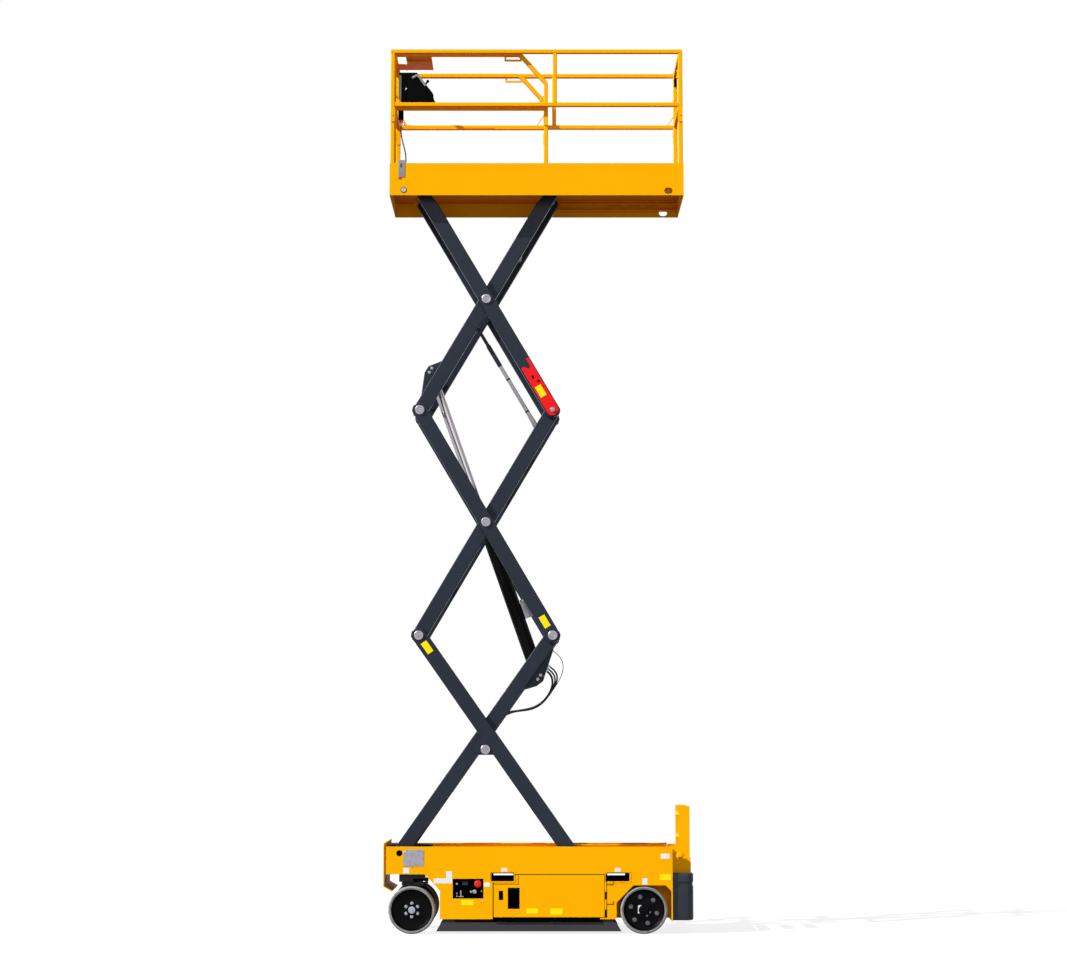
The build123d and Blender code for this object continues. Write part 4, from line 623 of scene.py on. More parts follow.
class LIFT_OT_arms(bpy.types.Operator):
    """Box-section arms with their welded lugs, eye brackets and cross tubes"""
    bl_idname = "lift.arms"
    bl_label = "Arms"

    def execute(self, context):
        s = context.scene.lift_sizes
        h = s.tube_depth / 2
        for name, low, high, inner, slim, centre, crosses in ARM_ROWS:
            length = np.linalg.norm(high - low)
            middle, off = seen_along(centre, low, high)
            parts = both([slab(arm_outline(length, h, slim), inner, inner + TUBE_WIDTH, s.tube_edge, 3)])
            if abs(off) > 0.01:
                parts += both(self.centre_lug(middle, off, h, inner))
            parts += [bar((middle + x, -inner, 0), (middle + x, inner, 0), 0.038, 28) for x in crosses]
            if name == "arm_a1":
                x, reach, root = length - EYE_ALONG, LOW_EYE_OFF + EYE_R, h - 0.008
                parts += eye_plate([(length - EYE_R, 0.004 - h), (x, -reach),
                                    (x - 1.5 * EYE_R, EYE_R / 2 - reach), (x - 3.6 * EYE_R, 0.004 - h),
                                    (x - 3.6 * EYE_R, root), (length - 3 * EYE_R, root)])
                # brackets at the hoses' two ends and at the sensor
                parts += [soft_box((1.866, -0.184, -0.100), (1.940, -0.072, -0.072), 0.002),
                          soft_box((1.230, -0.196, -0.056), (1.270, -0.072, 0.010), 0.003),
                          soft_box((2.034, -0.184, -0.072), (2.058, -0.140, -0.052), 0.003)]
            if name == "arm_a3":
                x, reach, root = EYE_ALONG, HIGH_EYE_OFF + EYE_R, h - 0.004
                parts += eye_plate([(EYE_R * 2.4, root), (x - EYE_R, reach), (x + EYE_R / 2, reach),
                                    (x + 3 * EYE_R, root), (x + 3 * EYE_R, 0.008 - h),
                                    (EYE_R * 2.4, 0.008 - h)])
            make_piece(name + "_tubes", laid(parts, low, high), name, "anthracite", name)
        return {"FINISHED"}

    def centre_lug(self, middle, off, h, inner):
        """Plate welded under the tube for the first pair's centre pivot, with a doubler round the pin."""
        side, outer = np.sign(off), inner + TUBE_WIDTH
        root, reach = side * (h - 0.010), off + side * 0.085
        corners = [(middle - 0.077, root), (middle + 0.006, reach),
                   (middle + 0.057, reach), (middle + 0.107, root)]
        parts = [slab(rounded(corners, 0.014), inner + 0.002, outer - 0.001, 0.002, 2)]
        if inner == OUTER_Y:
            doubler = [(middle + x, off + side * z) for x, z in (
                (-0.050, -0.040), (-0.034, 0.030), (0.014, 0.068),
                (0.050, 0.068), (0.074, 0.010), (0.060, -0.046))]
            parts.append(slab(rounded(doubler, 0.022), outer - 0.002, outer + 0.005, 0.0016, 2))
        return parts


class LIFT_OT_pins(bpy.types.Operator):
    """Zinc-plated pivot pins, their heads, the rollers and the bracket bolts"""
    bl_idname = "lift.pins"
    bl_label = "Pins"

    def execute(self, context):
        r = context.scene.lift_sizes.pin_head
        for name, low, high, inner, _, centre, _ in ARM_ROWS:
            length = np.linalg.norm(high - low)
            middle, off = seen_along(centre, low, high)
            if inner == INNER_Y:
                shafts, heads = [(middle, off, INNER_Y + 0.02, OUTER_FACE)], [(middle, off)]
            else:
                ends = [(0, OUTER_FACE, BRACKET_Y + 0.005, name == "arm_b1"),
                        (length, OUTER_FACE, BRACKET_Y + BRACKET_T, name == "arm_b3")]
                shafts = [(x, 0, None, wide if last else face) for x, face, wide, last in ends]
                heads = [(x, 0) for x, _, _, last in ends if not last]
            if name == "arm_a1":
                shafts += [(0, 0, None, BRACKET_Y + BRACKET_T),
                           (length - EYE_ALONG, -LOW_EYE_OFF, None, INNER_Y)]
            if name == "arm_a3":
                shafts += [(length, 0, None, BRACKET_Y + 0.005), (EYE_ALONG, HIGH_EYE_OFF, 0.048, INNER_Y)]
            parts = []
            for x, z, y0, y1 in shafts:
                wide = EYE_PIN_R if abs(z) > 0.09 else PIN_R
                if y0 is None:
                    parts.append(bar((x, -y1, z), (x, y1, z), wide, 28))
                else:
                    parts += both([bar((x, y0, z), (x, y1, z), wide, 28)])
            for x, z in heads:
                parts += both([pin_head(x, z, -OUTER_FACE - 0.0003, r)])
            for x in {"arm_b1": [0], "arm_a3": [length]}.get(name, []):
                parts += [roller(x, side) for side in (-1, 1)]
            if name == "arm_a1":
                parts += self.bracket_bolts(length - EYE_ALONG, -0.100, -1)
            if name == "arm_a3":
                parts += self.bracket_bolts(EYE_ALONG, 0.100, 1)
            if name == "arm_b3":
                parts.append(bar((0, -0.326, 0), (0, -OUTER_FACE, 0), PIN_R * 0.6, 24, 0.002))
                parts += bolt((0, -0.324, 0), OUT, 0.0135)
            make_piece(name + "_pins", laid(parts, low, high), name, "zinc")
        return {"FINISHED"}

    def bracket_bolts(self, x, z, side):
        """Keeper bolts on the outer face of each eye plate, and two that show under the near tube."""
        parts = []
        for y in (-1, 1):
            for step in (-0.022, 0.022):
                parts += bolt((x + step, y * (INNER_Y - EYE_PLATE_T - 0.0005), z), (0, -y, 0), 0.010)
        for step in (-0.020, 0.020):
            parts += bolt((x + step, -INNER_Y - 0.001, z + side * 0.004), OUT, 0.0095)
        return parts


# ---------------------------------------------------------------- cylinder
RUN_A3 = unit(RIGHTS[2] - LEFTS[1])
UP_EYE = LEFTS[1] + EYE_ALONG * RUN_A3 + HIGH_EYE_OFF * np.array([-RUN_A3[1], RUN_A3[0]])


class LIFT_OT_cylinder(bpy.types.Operator):
    """Lift cylinder: barrel with welded bottom eye and gland, chrome rod and valve block"""
    bl_idname = "lift.cylinder"
    bl_label = "Cylinder"

    def execute(self, context):
        length = np.linalg.norm(UP_EYE - LOW_EYE)
        out, down = (1, 0, 0), (0, 0, -1)
        body = mm(30, 30, 57, 44, 57, 1388, 61, 1393, 64, 1396, 64, 1434, 60, 1440, 44, 1440, 42, 1437,
                  36.5, 1437)
        weld = mm(57.5, 0, 59.5, 2, 59.5, 6, 57.5, 8)
        barrel = [turned((0, 0, 0), out, body, 48), self.eye(0), turned((0.085, 0, 0), out, weld, 48),
                  bar((0.16, 0.052, -0.030), (1.30, 0.052, -0.030), 0.007, 14)]
        barrel += [soft_box((x, 0.030, -0.044), (x + 0.04, 0.062, -0.016), 0.004) for x in (0.15, 1.28)]
        self.place("barrel", barrel, "barrel", "deep_black", "cylinder_barrel")
        rod = [turned((0, 0, 0), out,
                      [(0.035, length - 1.48), (0.035, length - 0.045), (0.030, length - 0.030)], 48)]
        self.place("rod", rod, "rod", "bright", "cylinder_rod")
        self.place("rod_eye", [self.eye(length)], "rod", "black")
        top = -0.0573
        block = [soft_box((0.498, -0.032, top - 0.060), (0.632, 0.032, top), 0.003),
                 turned((0.55, 0, top - 0.058), down, [(0.016, -0.002), (0.016, 0.006)], 20),
                 turned((0.590, 0, top - 0.058), down, [(0.019, -0.002), (0.019, 0.008)], 6),
                 turned((0.631, 0, top - 0.020), out, mm(17, 0, 17, 26, 15, 28), 24),
                 turned((0.631, 0, top - 0.044), out, mm(9, 0, 9, 20, 7, 22), 6)]
        block += [p for x in (0.512, 0.618) for y in (-0.022, 0.022)
                  for p in bolt((x, y, top - 0.058), down, 0.0055, False)]
        self.place("valve", block, "barrel", "zinc", "valve_block")
        coil = [turned((0.535, 0, top - 0.056), down, mm(15, 0, 15, 28, 12, 31), 28),
                soft_box((0.506, -0.016, top - 0.085), (0.520, 0.016, top - 0.064), 0.002)]
        self.place("valve_coil", coil, "barrel", "black_plastic")
        return {"FINISHED"}

    def eye(self, x):
        """Bearing eye: a ring about Y with a bore for the pin."""
        rows = mm(28.5, -40, 40, -40, 42, -38, 42, 38, 40, 40, 28.5, 40)
        return turned((x, 0, 0), (0, 1, 0), rows, 40, True)

    def place(self, name, parts, body, finish, stands_for=None):
        """Piece drawn along X and laid on the cylinder's own line."""
        make_piece("lift_cylinder_" + name, laid(parts, LOW_EYE, LOW_EYE + STROKE), body, finish, stands_for)


# ---------------------------------------------------------------- hoses and cables
HOSES = (
    # name, diameter, length, exit and route as (along, off, inwards) in the first arm's own frame
    ("hose_outer", 0.014, 0.831,
     mm(1927, -100, 74, 1927, -158, 74, 1908, -212, 73, 1862, -243, 72, 1798, -252, 72, 1722, -254, 72,
        1650, -248, 73, 1590, -226, 74, 1538, -188, 75, 1494, -138, 76, 1448, -90, 76, 1394, -55, 76,
        1334, -36, 76, 1270, -36, 76, k=3)),
    ("hose_middle", 0.014, 0.816,
     mm(1905, -100, 92, 1905, -158, 92, 1880, -212, 92, 1830, -242, 91, 1764, -252, 91, 1692, -251, 91,
        1624, -238, 92, 1564, -206, 93, 1516, -162, 94, 1474, -108, 94, 1432, -62, 94, 1382, -30, 94,
        1326, -14, 94, 1270, -14, 94, k=3)),
    ("hose_inner", 0.018, 0.777,
     mm(1884, -100, 112, 1884, -146, 112, 1866, -190, 112, 1830, -222, 112, 1780, -243, 112, 1720, -250, 112,
        1654, -243, 112, 1594, -220, 112, 1536, -176, 112, 1486, -124, 112, 1440, -76, 112, 1388, -42, 112,
        1330, -24, 112, 1270, -24, 112, k=3)),
    ("sensor_cable", 0.006, 0.962,
     mm(2046, -72, 45, 2046, -112, 45, 2036, -156, 47, 2012, -196, 50, 1974, -226, 53, 1924, -246, 56,
        1862, -254, 58, 1790, -257, 59, 1716, -256, 59, 1650, -247, 59, 1588, -224, 60, 1534, -182, 61,
        1490, -130, 62, 1442, -80, 62, 1390, -46, 62, 1330, -30, 62, 1270, -30, 62, k=3)),
)
# X, inwards from the extension's rail and height over the deck
CONTROL_CABLE = mm(-1145, 68, 494, -1145, 68, 444, -1137, 65, 390, -1122, 58, 332, -1107, 46, 272,
                   -1100, 35, 214, -1100, 35, 162.3, k=3)


class LIFT_OT_hoses(bpy.types.Operator):
    """Hydraulic hoses and the sensor cable that loop under the first arm, and the control box's cable"""
    bl_idname = "lift.hoses"
    bl_label = "Hoses and cables"

    def execute(self, context):
        run = unit(RIGHTS[0] - FOOT)
        for name, diameter, length, route in HOSES:
            along, off, inwards = route.T
            x = FOOT[0] + along * run[0] - off * run[1]
            z = FOOT[1] + along * run[1] + off * run[0]
            points = np.stack([x, inwards - INNER_Y, z], -1)
            fittings = []
            if diameter > 0.010:
                r = diameter / 2
                rows = [(r * 0.9, 0), (r + 0.0035, 0), (r + 0.0035, 0.010), (r + 0.002, 0.011),
                        (r + 0.002, 0.030), (r + 0.0008, 0.032), (r * 0.9, 0.032)]
                ends = [turned(points[tip], points[after] - points[tip], rows, 24, True)
                        for tip, after in ((0, 1), (-1, -2))]
                fittings = [make_piece(name + "_fittings", ends, "arm_a1", "dull_zinc")]
            self.cord(name, points, diameter, length, "arm_a1", fittings, "hanging")
        x, inwards, height = CONTROL_CABLE.T
        points = np.stack([x, inwards - 0.330, height + DECK], -1)
        self.cord("control_cable", points, 0.010, 0.339, "extension", [], "loose")
        return {"FINISHED"}

    def cord(self, name, points, diameter, length, body, fittings, lay):
        """Round cord along a quadratic spline whose control points are the route's own."""
        data = bpy.data.curves.new(name + "_line", "CURVE")
        data.dimensions = "3D"
        data.bevel_depth = diameter / 2
        data.bevel_resolution = 5
        data.use_fill_caps = True
        spline = data.splines.new("NURBS")
        spline.points.add(len(points) - 1)
        spline.points.foreach_set("co", np.column_stack([points, np.ones(len(points))]).ravel())
        spline.order_u = 3
        spline.use_endpoint_u = True
        spline.resolution_u = 10
        data.materials.append(material("hose_rubber"))
        piece = bpy.data.objects.new(name + "_line", data)
        bpy.context.collection.objects.link(piece)
        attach(piece, body)
        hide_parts(name)


# ---------------------------------------------------------------- prop and hose link
class LIFT_OT_prop(bpy.types.Operator):
    """Red maintenance prop that hangs on the outer arm, with its knob and a blank plate"""
    bl_idname = "lift.prop"
    bl_label = "Maintenance prop"

    def execute(self, context):
        low, high = RIGHTS[1], LEFTS[2]
        y0, y1 = -0.323, -0.313
        turn, bight = np.radians(np.linspace(90, 270, 19)), np.radians(np.linspace(-90, -270, 13))
        foot = 0.049 * np.stack([np.cos(turn), np.sin(turn)], -1)
        seat = [0.410, -0.007] + 0.017 * np.stack([np.cos(bight), np.sin(bight)], -1)
        outline = np.concatenate([foot, mm(466, -49, 473, -42, 474, -26),
                                  seat, mm(421, 24, 425, 42, 418, 49)])
        plate = [slab(outline, y0, y1, 0.0012, 2)]
        make_piece("maintenance_prop_plate", laid(plate, low, high), "prop", "red", "maintenance_prop")
        knob = [stud(0.315, y0 + 0.001, 0.002, OUT, 0.012, 0.0012, 0.010, 0.0018, 20),
                slab(oblong(0.300, 0.330, 0.000, 0.006, 0.002), y0 - 0.0016, y0 + 0.0005, 0.0004),
                stud(0.262, y0 + 0.001, -0.020, OUT, 0.011, 0.0015, 0.009, 0.002, 24)]
        make_piece("maintenance_prop_knob", laid(knob, low, high), "prop", "black_plastic")
        blank = [slab(oblong(0.131, 0.231, -0.021, 0.033), y0 - 0.0008, y0 + 0.0002, 0.0002)]
        make_piece("maintenance_prop_plate_blank", laid(blank, low, high), "prop", "yellow_label")
        return {"FINISHED"}


class LIFT_OT_hose_link(bpy.types.Operator):
    """Slim carrier between the upper inner arms, with a sleeve, a grey channel and its bands"""
    bl_idname = "lift.hose_link"
    bl_label = "Hose link"

    def execute(self, context):
        low = LINK_FOOT
        high = low + unit(LEFTS[2] - RIGHTS[1]) * np.linalg.norm(CENTRES[0] - LEFTS[0])
        length = np.linalg.norm(high - low)
        y0, y1 = -0.172, -0.152
        channel = [(0.05, -0.022), (0.12, -0.020), (0.20, -0.016), (length * 0.62, -0.016),
                   (length * 0.62, 0.016), (0.20, 0.016), (0.12, 0.021), (0.05, 0.025)]
        grey = [slab(rounded(channel, 0.004), y0, y1, 0.003, 2)]
        dark = [slab(oblong(length * 0.60, length * 0.79, -0.0185, 0.0185, 0.006),
                     y0 - 0.001, y1 + 0.001, 0.004, 2),
                slab(oblong(length * 0.78, length, -0.014, 0.014, 0.005), y0 + 0.001, y1 - 0.001, 0.003, 2)]
        dark += [turned((x, y0, 0), (0, 1, 0), mm(17, 0, 18, 1, 18, 19, 17, 20), 28) for x in (0.0, length)]
        dark.append(slab(oblong(0, 0.07, -0.013, 0.013, 0.003), y0 + 0.002, y1 - 0.002, 0.001))
        dark += [slab(oblong(x - 0.006, x + 0.006, -0.0180, 0.0180, 0.002), y0 - 0.0015, y1 + 0.0015, 0.001)
                 for x in (0.21, 0.52)]
        make_piece("hose_link_channel", laid(grey, low, high), "link", "grey_conduit", "hose_link")
        make_piece("hose_link_sleeve", laid(dark, low, high), "link", "anthracite")
        return {"FINISHED"}


# ---------------------------------------------------------------- wheels
WHEELS = (("front_near", -1.015, -1), ("front_far", -1.015, 1),
          ("rear_near", 0.845, -1), ("rear_far", 0.845, 1))
WHEEL_R = 0.190
WHEEL_WIDTH = 0.130
TREAD = mm(165.5, 2, 178, 0, 184, 4, 188.5, 14, 190, 30, 190, 100, 188.5, 116, 184, 126, 178, 130,
           174.5, 129.5, 173.5, 127.5, 169.5, 127, 168, 128.5, 165.5, 127.5)
DISH = mm(165.2, 5, 165.2, 124, 160, 126, 157.5, 122, 156, 108, 146, 98, 120, 94, 100, 94, 70, 94, 60, 100,
          44, 102, 40, 106, 22.8, 106, 22.8, 60, 46, 60, 52, 84, 110, 86, 134, 76, 157, 76, 157, 5)
CAP = mm(23.5, -3, 29, -3, 29, 10, 27.5, 13.5, 20, 15.5, 6, 16)


class LIFT_OT_wheels(bpy.types.Operator):
    """Solid tyres, dished rims and wheel nuts"""
    bl_idname = "lift.wheels"
    bl_label = "Wheels"

    def execute(self, context):
        for name, x, side in WHEELS:
            body, wheel = "wheel_" + name, "wheel_%s_" % name
            front = name.startswith("front")
            out = (0, side, 0)
            hub = (x, side * (HALF_WIDTH - WHEEL_WIDTH), WHEEL_R)
            tyre, rim = turned(hub, out, TREAD, 96, True), turned(hub, out, DISH, 96, True)
            make_piece("tyre_%s_rubber" % name, [tyre], body, "rubber", "tyre_" + name, 50)
            make_piece("rim_%s_dish" % name, [rim], body, "deep_black", "rim_" + name)
            face = side * (HALF_WIDTH - WHEEL_WIDTH + (0.1005 if front else 0.094))
            cap = turned((x, side * (HALF_WIDTH - WHEEL_WIDTH + 0.106), WHEEL_R), out, CAP, 40)
            make_piece(wheel + "cap", [cap], body, "dull_zinc" if front else "deep_black")
            ring, size, lean = (0.053, 0.0092, 90.0) if front else (0.108, 0.0125, 46.0)
            nuts = self.bolts(x, face, out, ring, size, lean + np.arange(6) * 60.0)
            make_piece(wheel + "nuts", nuts, body, "dull_zinc" if front else "dark_steel")
            if not front:
                small = self.bolts(x, face + side * 0.008, out, 0.052, 0.006, (-20.0, -62.0))
                make_piece(wheel + "small_bolts", small, body, "dark_steel")
                tag = slab([(x - 0.048, 0.163), (x - 0.016, 0.164), (x - 0.014, 0.228), (x - 0.046, 0.227)],
                           face + side * 0.004, face + side * 0.0095, 0.0003)
                make_piece(wheel + "tag", [tag], body, "white_label")
        return {"FINISHED"}

    def bolts(self, x, y, out, ring, size, angles):
        """Bolts on a ring round the axle, one at each angle."""
        return [p for a in np.radians(angles)
                for p in bolt((x + ring * np.cos(a), y, WHEEL_R + ring * np.sin(a)), out, size)]


# ---------------------------------------------------------------- rails
MIDDLE_RAIL = 0.668


def frame_rail(points, w, edge, radii=None):
    """Square tube along a path in a plane of equal Y, with its own bend radius at each inner corner."""
    p = np.asarray(points, float)
    if radii:
        bends = [bent(p[i:i + 3], r, 12)[1:-1] if r else p[i + 1:i + 2] for i, r in enumerate(radii)]
        p = np.concatenate([p[:1], *bends, p[-1:]])
    return carried(p, round_rect(w, w, edge))


def brace(x, z, dx, y, reach=0.075):
    """Thin rod that braces the corner between a post and a rail."""
    return bar((x, y, z + reach), (x + dx * reach * 0.66, y, z), 0.0045, 10)


class LIFT_OT_guardrails(bpy.types.Operator):
    """Fixed guardrails: square tubes, braces, folding joints and the gate's hinge sockets"""
    bl_idname = "lift.guardrails"
    bl_label = "Guardrails"

    def execute(self, context):
        s = context.scene.lift_sizes
        w, e = s.rail, s.rail_edge
        h = w / 2
        lo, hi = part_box("guardrails")
        x0, x1, y, top, mid = lo.x + h, hi.x - h, hi.y - h, hi.z - h, lo.z + MIDDLE_RAIL - h
        runs = [((x0 - h, top), (x1 + h, top)), ((x0 + h, mid), (x1 - h, mid)), ((x0, lo.z), (x0, top - h)),
                ((x1, lo.z), (x1, top - h)), ((0.138, mid + h), (0.138, top - h))]
        side = [frame_rail([(a[0], y, a[1]), (b[0], y, b[1])], w, e) for a, b in runs]
        side += [brace(x0 + h, mid + h, 1, y), brace(x1 - h, mid + h, -1, y)]
        for x, way in ((x0, -1), (x1, 1)):
            ear = rounded([(x - way * 0.020, mid - 0.145), (x + way * 0.016, mid - 0.150),
                           (x + way * 0.016, mid - 0.035), (x - way * 0.020, mid - 0.030)], 0.010)
            side += [slab(ear, y + step - 0.003, y + step + 0.003, 0.0008) for step in (-0.020, 0.020)]
            side.append(bar((x, y - 0.026, mid - 0.090), (x, y + 0.026, mid - 0.090), 0.007, 12, 0.001))
        parts = both(side)
        gx, gy = PIVOT["gate_hinge"][:2]
        for z in (RAIL_FOOT + 0.070, RAIL_TOP - 0.200):
            for z0, z1 in ((z - 0.033, z - 0.021), (z + 0.021, z + 0.033)):
                t = z1 - z0
                ring = [(0.0085, 0), (0.0125, 0), (0.013, 0.001),
                        (0.013, t - 0.001), (0.0125, t), (0.0085, t)]
                parts += [turned((gx, gy, z0), (0, 0, 1), ring, 24, True),
                          soft_box((gx, -hi.y + w - 0.001, z0), (gx + 0.020, gy - 0.006, z1), 0.001)]
        make_piece("guardrail_tubes", parts, "platform", "yellow", "guardrails")
        return {"FINISHED"}


class LIFT_OT_gate(bpy.types.Operator):
    """Entry gate: a frame of square tube with its toe plate, hinge pins and latch"""
    bl_idname = "lift.gate"
    bl_label = "Entry gate"

    def execute(self, context):
        s = context.scene.lift_sizes
        w, tube = s.rail, round_rect(0.030, s.rail, s.rail_edge)
        lo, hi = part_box("entry_gate")
        gx, gy = PIVOT["gate_hinge"][:2]
        x, y0, y1 = gx + 0.015, gy + 0.002, hi.y
        parts = [carried([(x, y0 + w, z), (x, y1 - w, z)], tube, (0, 0, 1))
                 for z in (hi.z - w / 2, RAIL_FOOT + MIDDLE_RAIL - w / 2)]
        parts += [carried([(x, y, lo.z), (x, y, hi.z)], tube[:, ::-1]) for y in (y0 + w / 2, y1 - w / 2)]
        parts.append(soft_box((gx + 0.012, y0 + 0.001, lo.z), (gx + 0.018, y1 - 0.001, lo.z + 0.134), 0.001))
        pin = mm(6, 0, 8, 2, 8, 70, 6, 72)
        for z in (lo.z + 0.060, RAIL_TOP - 0.200):
            parts += [turned((gx, gy, z - 0.036), (0, 0, 1), pin, 20),
                      soft_box((gx - 0.004, gy, z - 0.018), (gx + 0.004, y0 + 0.006, z + 0.018), 0.001)]
        make_piece("entry_gate_frame", parts, "gate", "yellow", "entry_gate")
        latch = [soft_box((gx + 0.004, y1 - 0.060, hi.z - 0.120),
                          (gx + 0.026, y1 - 0.026, hi.z - 0.050), 0.004),
                 bar((x, y1 - 0.030, hi.z - 0.085), (x, y1 + 0.008, hi.z - 0.085), 0.006, 14, 0.001)]
        make_piece("entry_gate_latch", latch, "gate", "black_plastic")
        return {"FINISHED"}


class LIFT_OT_extension_rails(bpy.types.Operator):
    """Rails of the sliding deck: bent top tubes, lower rails, handles and braces"""
    bl_idname = "lift.extension_rails"
    bl_label = "Extension rails"

    def execute(self, context):
        s = context.scene.lift_sizes
        w, e = s.rail, s.rail_edge
        h = w / 2
        lo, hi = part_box("extension_rails")
        x0, x1, y, top, mid = lo.x + h, hi.x - h, hi.y - h, hi.z - h, RAIL_FOOT + MIDDLE_RAIL - 0.017 - h
        hoop = [(x0, y, lo.z), (x0, y, top), (x1 - 0.218, y, top), (x1, y, top - 0.247), (x1, y, lo.z)]
        side = [frame_rail(hoop, w, e, (0, 0.060, 0.060)),
                frame_rail([(x0 + h, y, mid), (x1 - h, y, mid)], w, e),
                brace(x1 - h, mid + h, -1, y, 0.090), brace(x0 + h, mid + h, 1, y, 0.090)]
        under = top - h
        outer = oblong(-0.282, -0.138, under - 0.041, under + 0.001, 0.008)
        inner = oblong(-0.268, -0.152, under - 0.027, under - 0.004, 0.006)
        side.append(plate_with_hole(outer, inner, y - 0.006, y + 0.006))
        side += [slab(oblong(x - 0.020, x + 0.018, mid - 0.150, mid - 0.050, 0.009), y + step - 0.002,
                      y + step + 0.002, 0.0006) for x in (x0, x1) for step in (-0.021, 0.021)]
        parts = both(side) + [carried([(x0, h - y, z), (x0, y - h, z)], round_rect(w, w, e), (0, 0, 1))
                              for z in (top, mid)]
        make_piece("extension_rail_tubes", parts, "extension", "yellow", "extension_rails")
        return {"FINISHED"}


# ---------------------------------------------------------------- controls
class LIFT_OT_controls(bpy.types.Operator):
    """Platform control box with its plug, stick and grip, and the socket box with its outer face"""
    bl_idname = "lift.controls"
    bl_label = "Platform controls"

    def execute(self, context):
        self.control_box(*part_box("control_box"))
        self.socket_box(*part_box("socket_box"))
        return {"FINISHED"}

    def control_box(self, lo, hi):
        y0, y1, x, z = lo.y, hi.y, -1.160, hi.z - 0.283
        side = mm(0, 0, 304, 0, 304, 34, 288, 62, 288, 101, 189, 226, 149, 283, 0, 283)
        hole = mm(47, 120, 84, 174, 47, 201)
        outer, inner = rounded(np.add(side, (x, z)), 0.010, 3), rounded(np.add(hole, (x, z)), 0.006, 3)
        body = [plate_with_hole(outer, inner, y0, y0 + 0.012), plate_with_hole(outer, inner, y1 - 0.012, y1),
                plate_with_hole(pulled_in(outer, 0.005), pulled_in(inner, -0.0015), y0 + 0.011, y1 - 0.011)]
        plug, down = (x + 0.015, -0.262, z + 0.002), (0, 0, -1)
        body.append(turned(plug, down,
                           mm(22, 0, 22, 16, 20, 18, 20, 30, 22, 32, 22, 100, 20, 107, 12, 109), 32))
        make_piece("control_box_shell", body, "extension", "black_plastic", "control_box")
        ring = [turned(plug, down, mm(8, 110, 15.5, 110, 15.5, 132, 8, 132), 28, True)]
        make_piece("control_plug_ring", ring, "extension", "orange_ring")
        gland = [turned(plug, down, mm(7.5, 132, 14.5, 132, 12.5, 157, 7.5, 159), 28, True)]
        make_piece("control_plug_gland", gland, "extension", "white_label")
        face = mm(170, 236, 196, 204, 268, 113, 250, 112, 160, 228)
        panel = [slab(rounded(np.add(face, (x, z)), 0.004, 2), y0 + 0.030, y1 - 0.030, 0.001)]
        make_piece("control_box_panel", panel, "extension", "dark_inside")
        stick = [turned((x + 0.205, -0.252, z + 0.190), (0.62, 0, 0.78), [
            (0.018, 0), (0.010, 0.012), (0.008, 0.040), (0.012, 0.044), (0.012, 0.058), (0.006, 0.062)], 24)]
        make_piece("control_box_stick", stick, "extension", "black_plastic")
        path = upright(np.add(mm(112, 236, 150, 262, 175, 238, 222, 170), (x, z)), y0 - 0.004)
        grip = [carried(bent(path, 0.02), round_rect(0.018, 0.010, 0.004)),
                soft_box((x - 0.0005, y0 - 0.003, z + 0.010), (x + 0.020, y0 + 0.006, z + 0.262), 0.002)]
        make_piece("control_box_grip", grip, "extension", "grey_conduit")

    def socket_box(self, lo, hi):
        skin_y = -HALF_WIDTH + 0.0002
        face = slab(oblong(-1.156, -1.102, DECK + 0.024, DECK + 0.170, 0.004), -HALF_WIDTH - 0.003,
                    -HALF_WIDTH + 0.0005, 0.001)
        make_piece("socket_face", [face], "platform", "grey_conduit")
        pin = (-1.111, skin_y, DECK - 0.082)
        marks = [film(-1.138, -1.128, DECK + 0.108, DECK + 0.140, -HALF_WIDTH - 0.003, -1, 0.0004),
                 turned(pin, OUT, [(0.025, 0), (0.025, 0.0012)], 32)]
        make_piece("socket_marks", marks, "platform", "dark_inside")
        head = turned(pin, OUT, mm(20, 0, 20, 2.6, 18, 3.2, 6, 3.3), 32)
        make_piece("platform_pin_head", [head], "platform", "dull_zinc")
        patch = film(-1.192, -1.154, DECK + 0.004, DECK + 0.144, -HALF_WIDTH + 0.0003, -1, 0.0009)
        make_piece("toe_board_tab", [patch], "platform", "yellow")
        make_piece("socket_box_case", [soft_box(lo, hi, 0.006)], "extension", "grey_conduit", "socket_box")
        x, y, z = lo.x + 0.018, lo.y - 0.002, hi.z - 0.062
        lid = [soft_box((x, y, z), (x + 0.012, y + 0.006, z + 0.042), 0.001),
               stud((lo.x + hi.x) / 2, lo.y + 0.001, lo.z + 0.030, OUT, 0.010, 0.003, 0.006, 0.004, 20)]
        make_piece("socket_box_lid", lid, "extension", "dark_inside")


# ---------------------------------------------------------------- chassis fittings
FILMS = (
    # piece, finish, and each film's X and Z limits
    ("blank_plates_white_", "white_label",
     mm(-1084, -1035, 483, 524, -839, -741, 401, 442, -740, -691, 401, 499, -437, -388, 376, 409,
        -298, -249, 491, 524, 611, 660, 491, 524, 980, 1053, 598, 638, 832, 873, 393, 442, k=4)),
    ("blank_plates_yellow_", "yellow_label", mm(-617, -519, 229, 270, 972, 1062, 426, 475, k=4)),
    ("door_blank_plates_", "yellow_label", mm(-97, -3, 163, 204, 95, 193, 155, 204, k=4)),
)


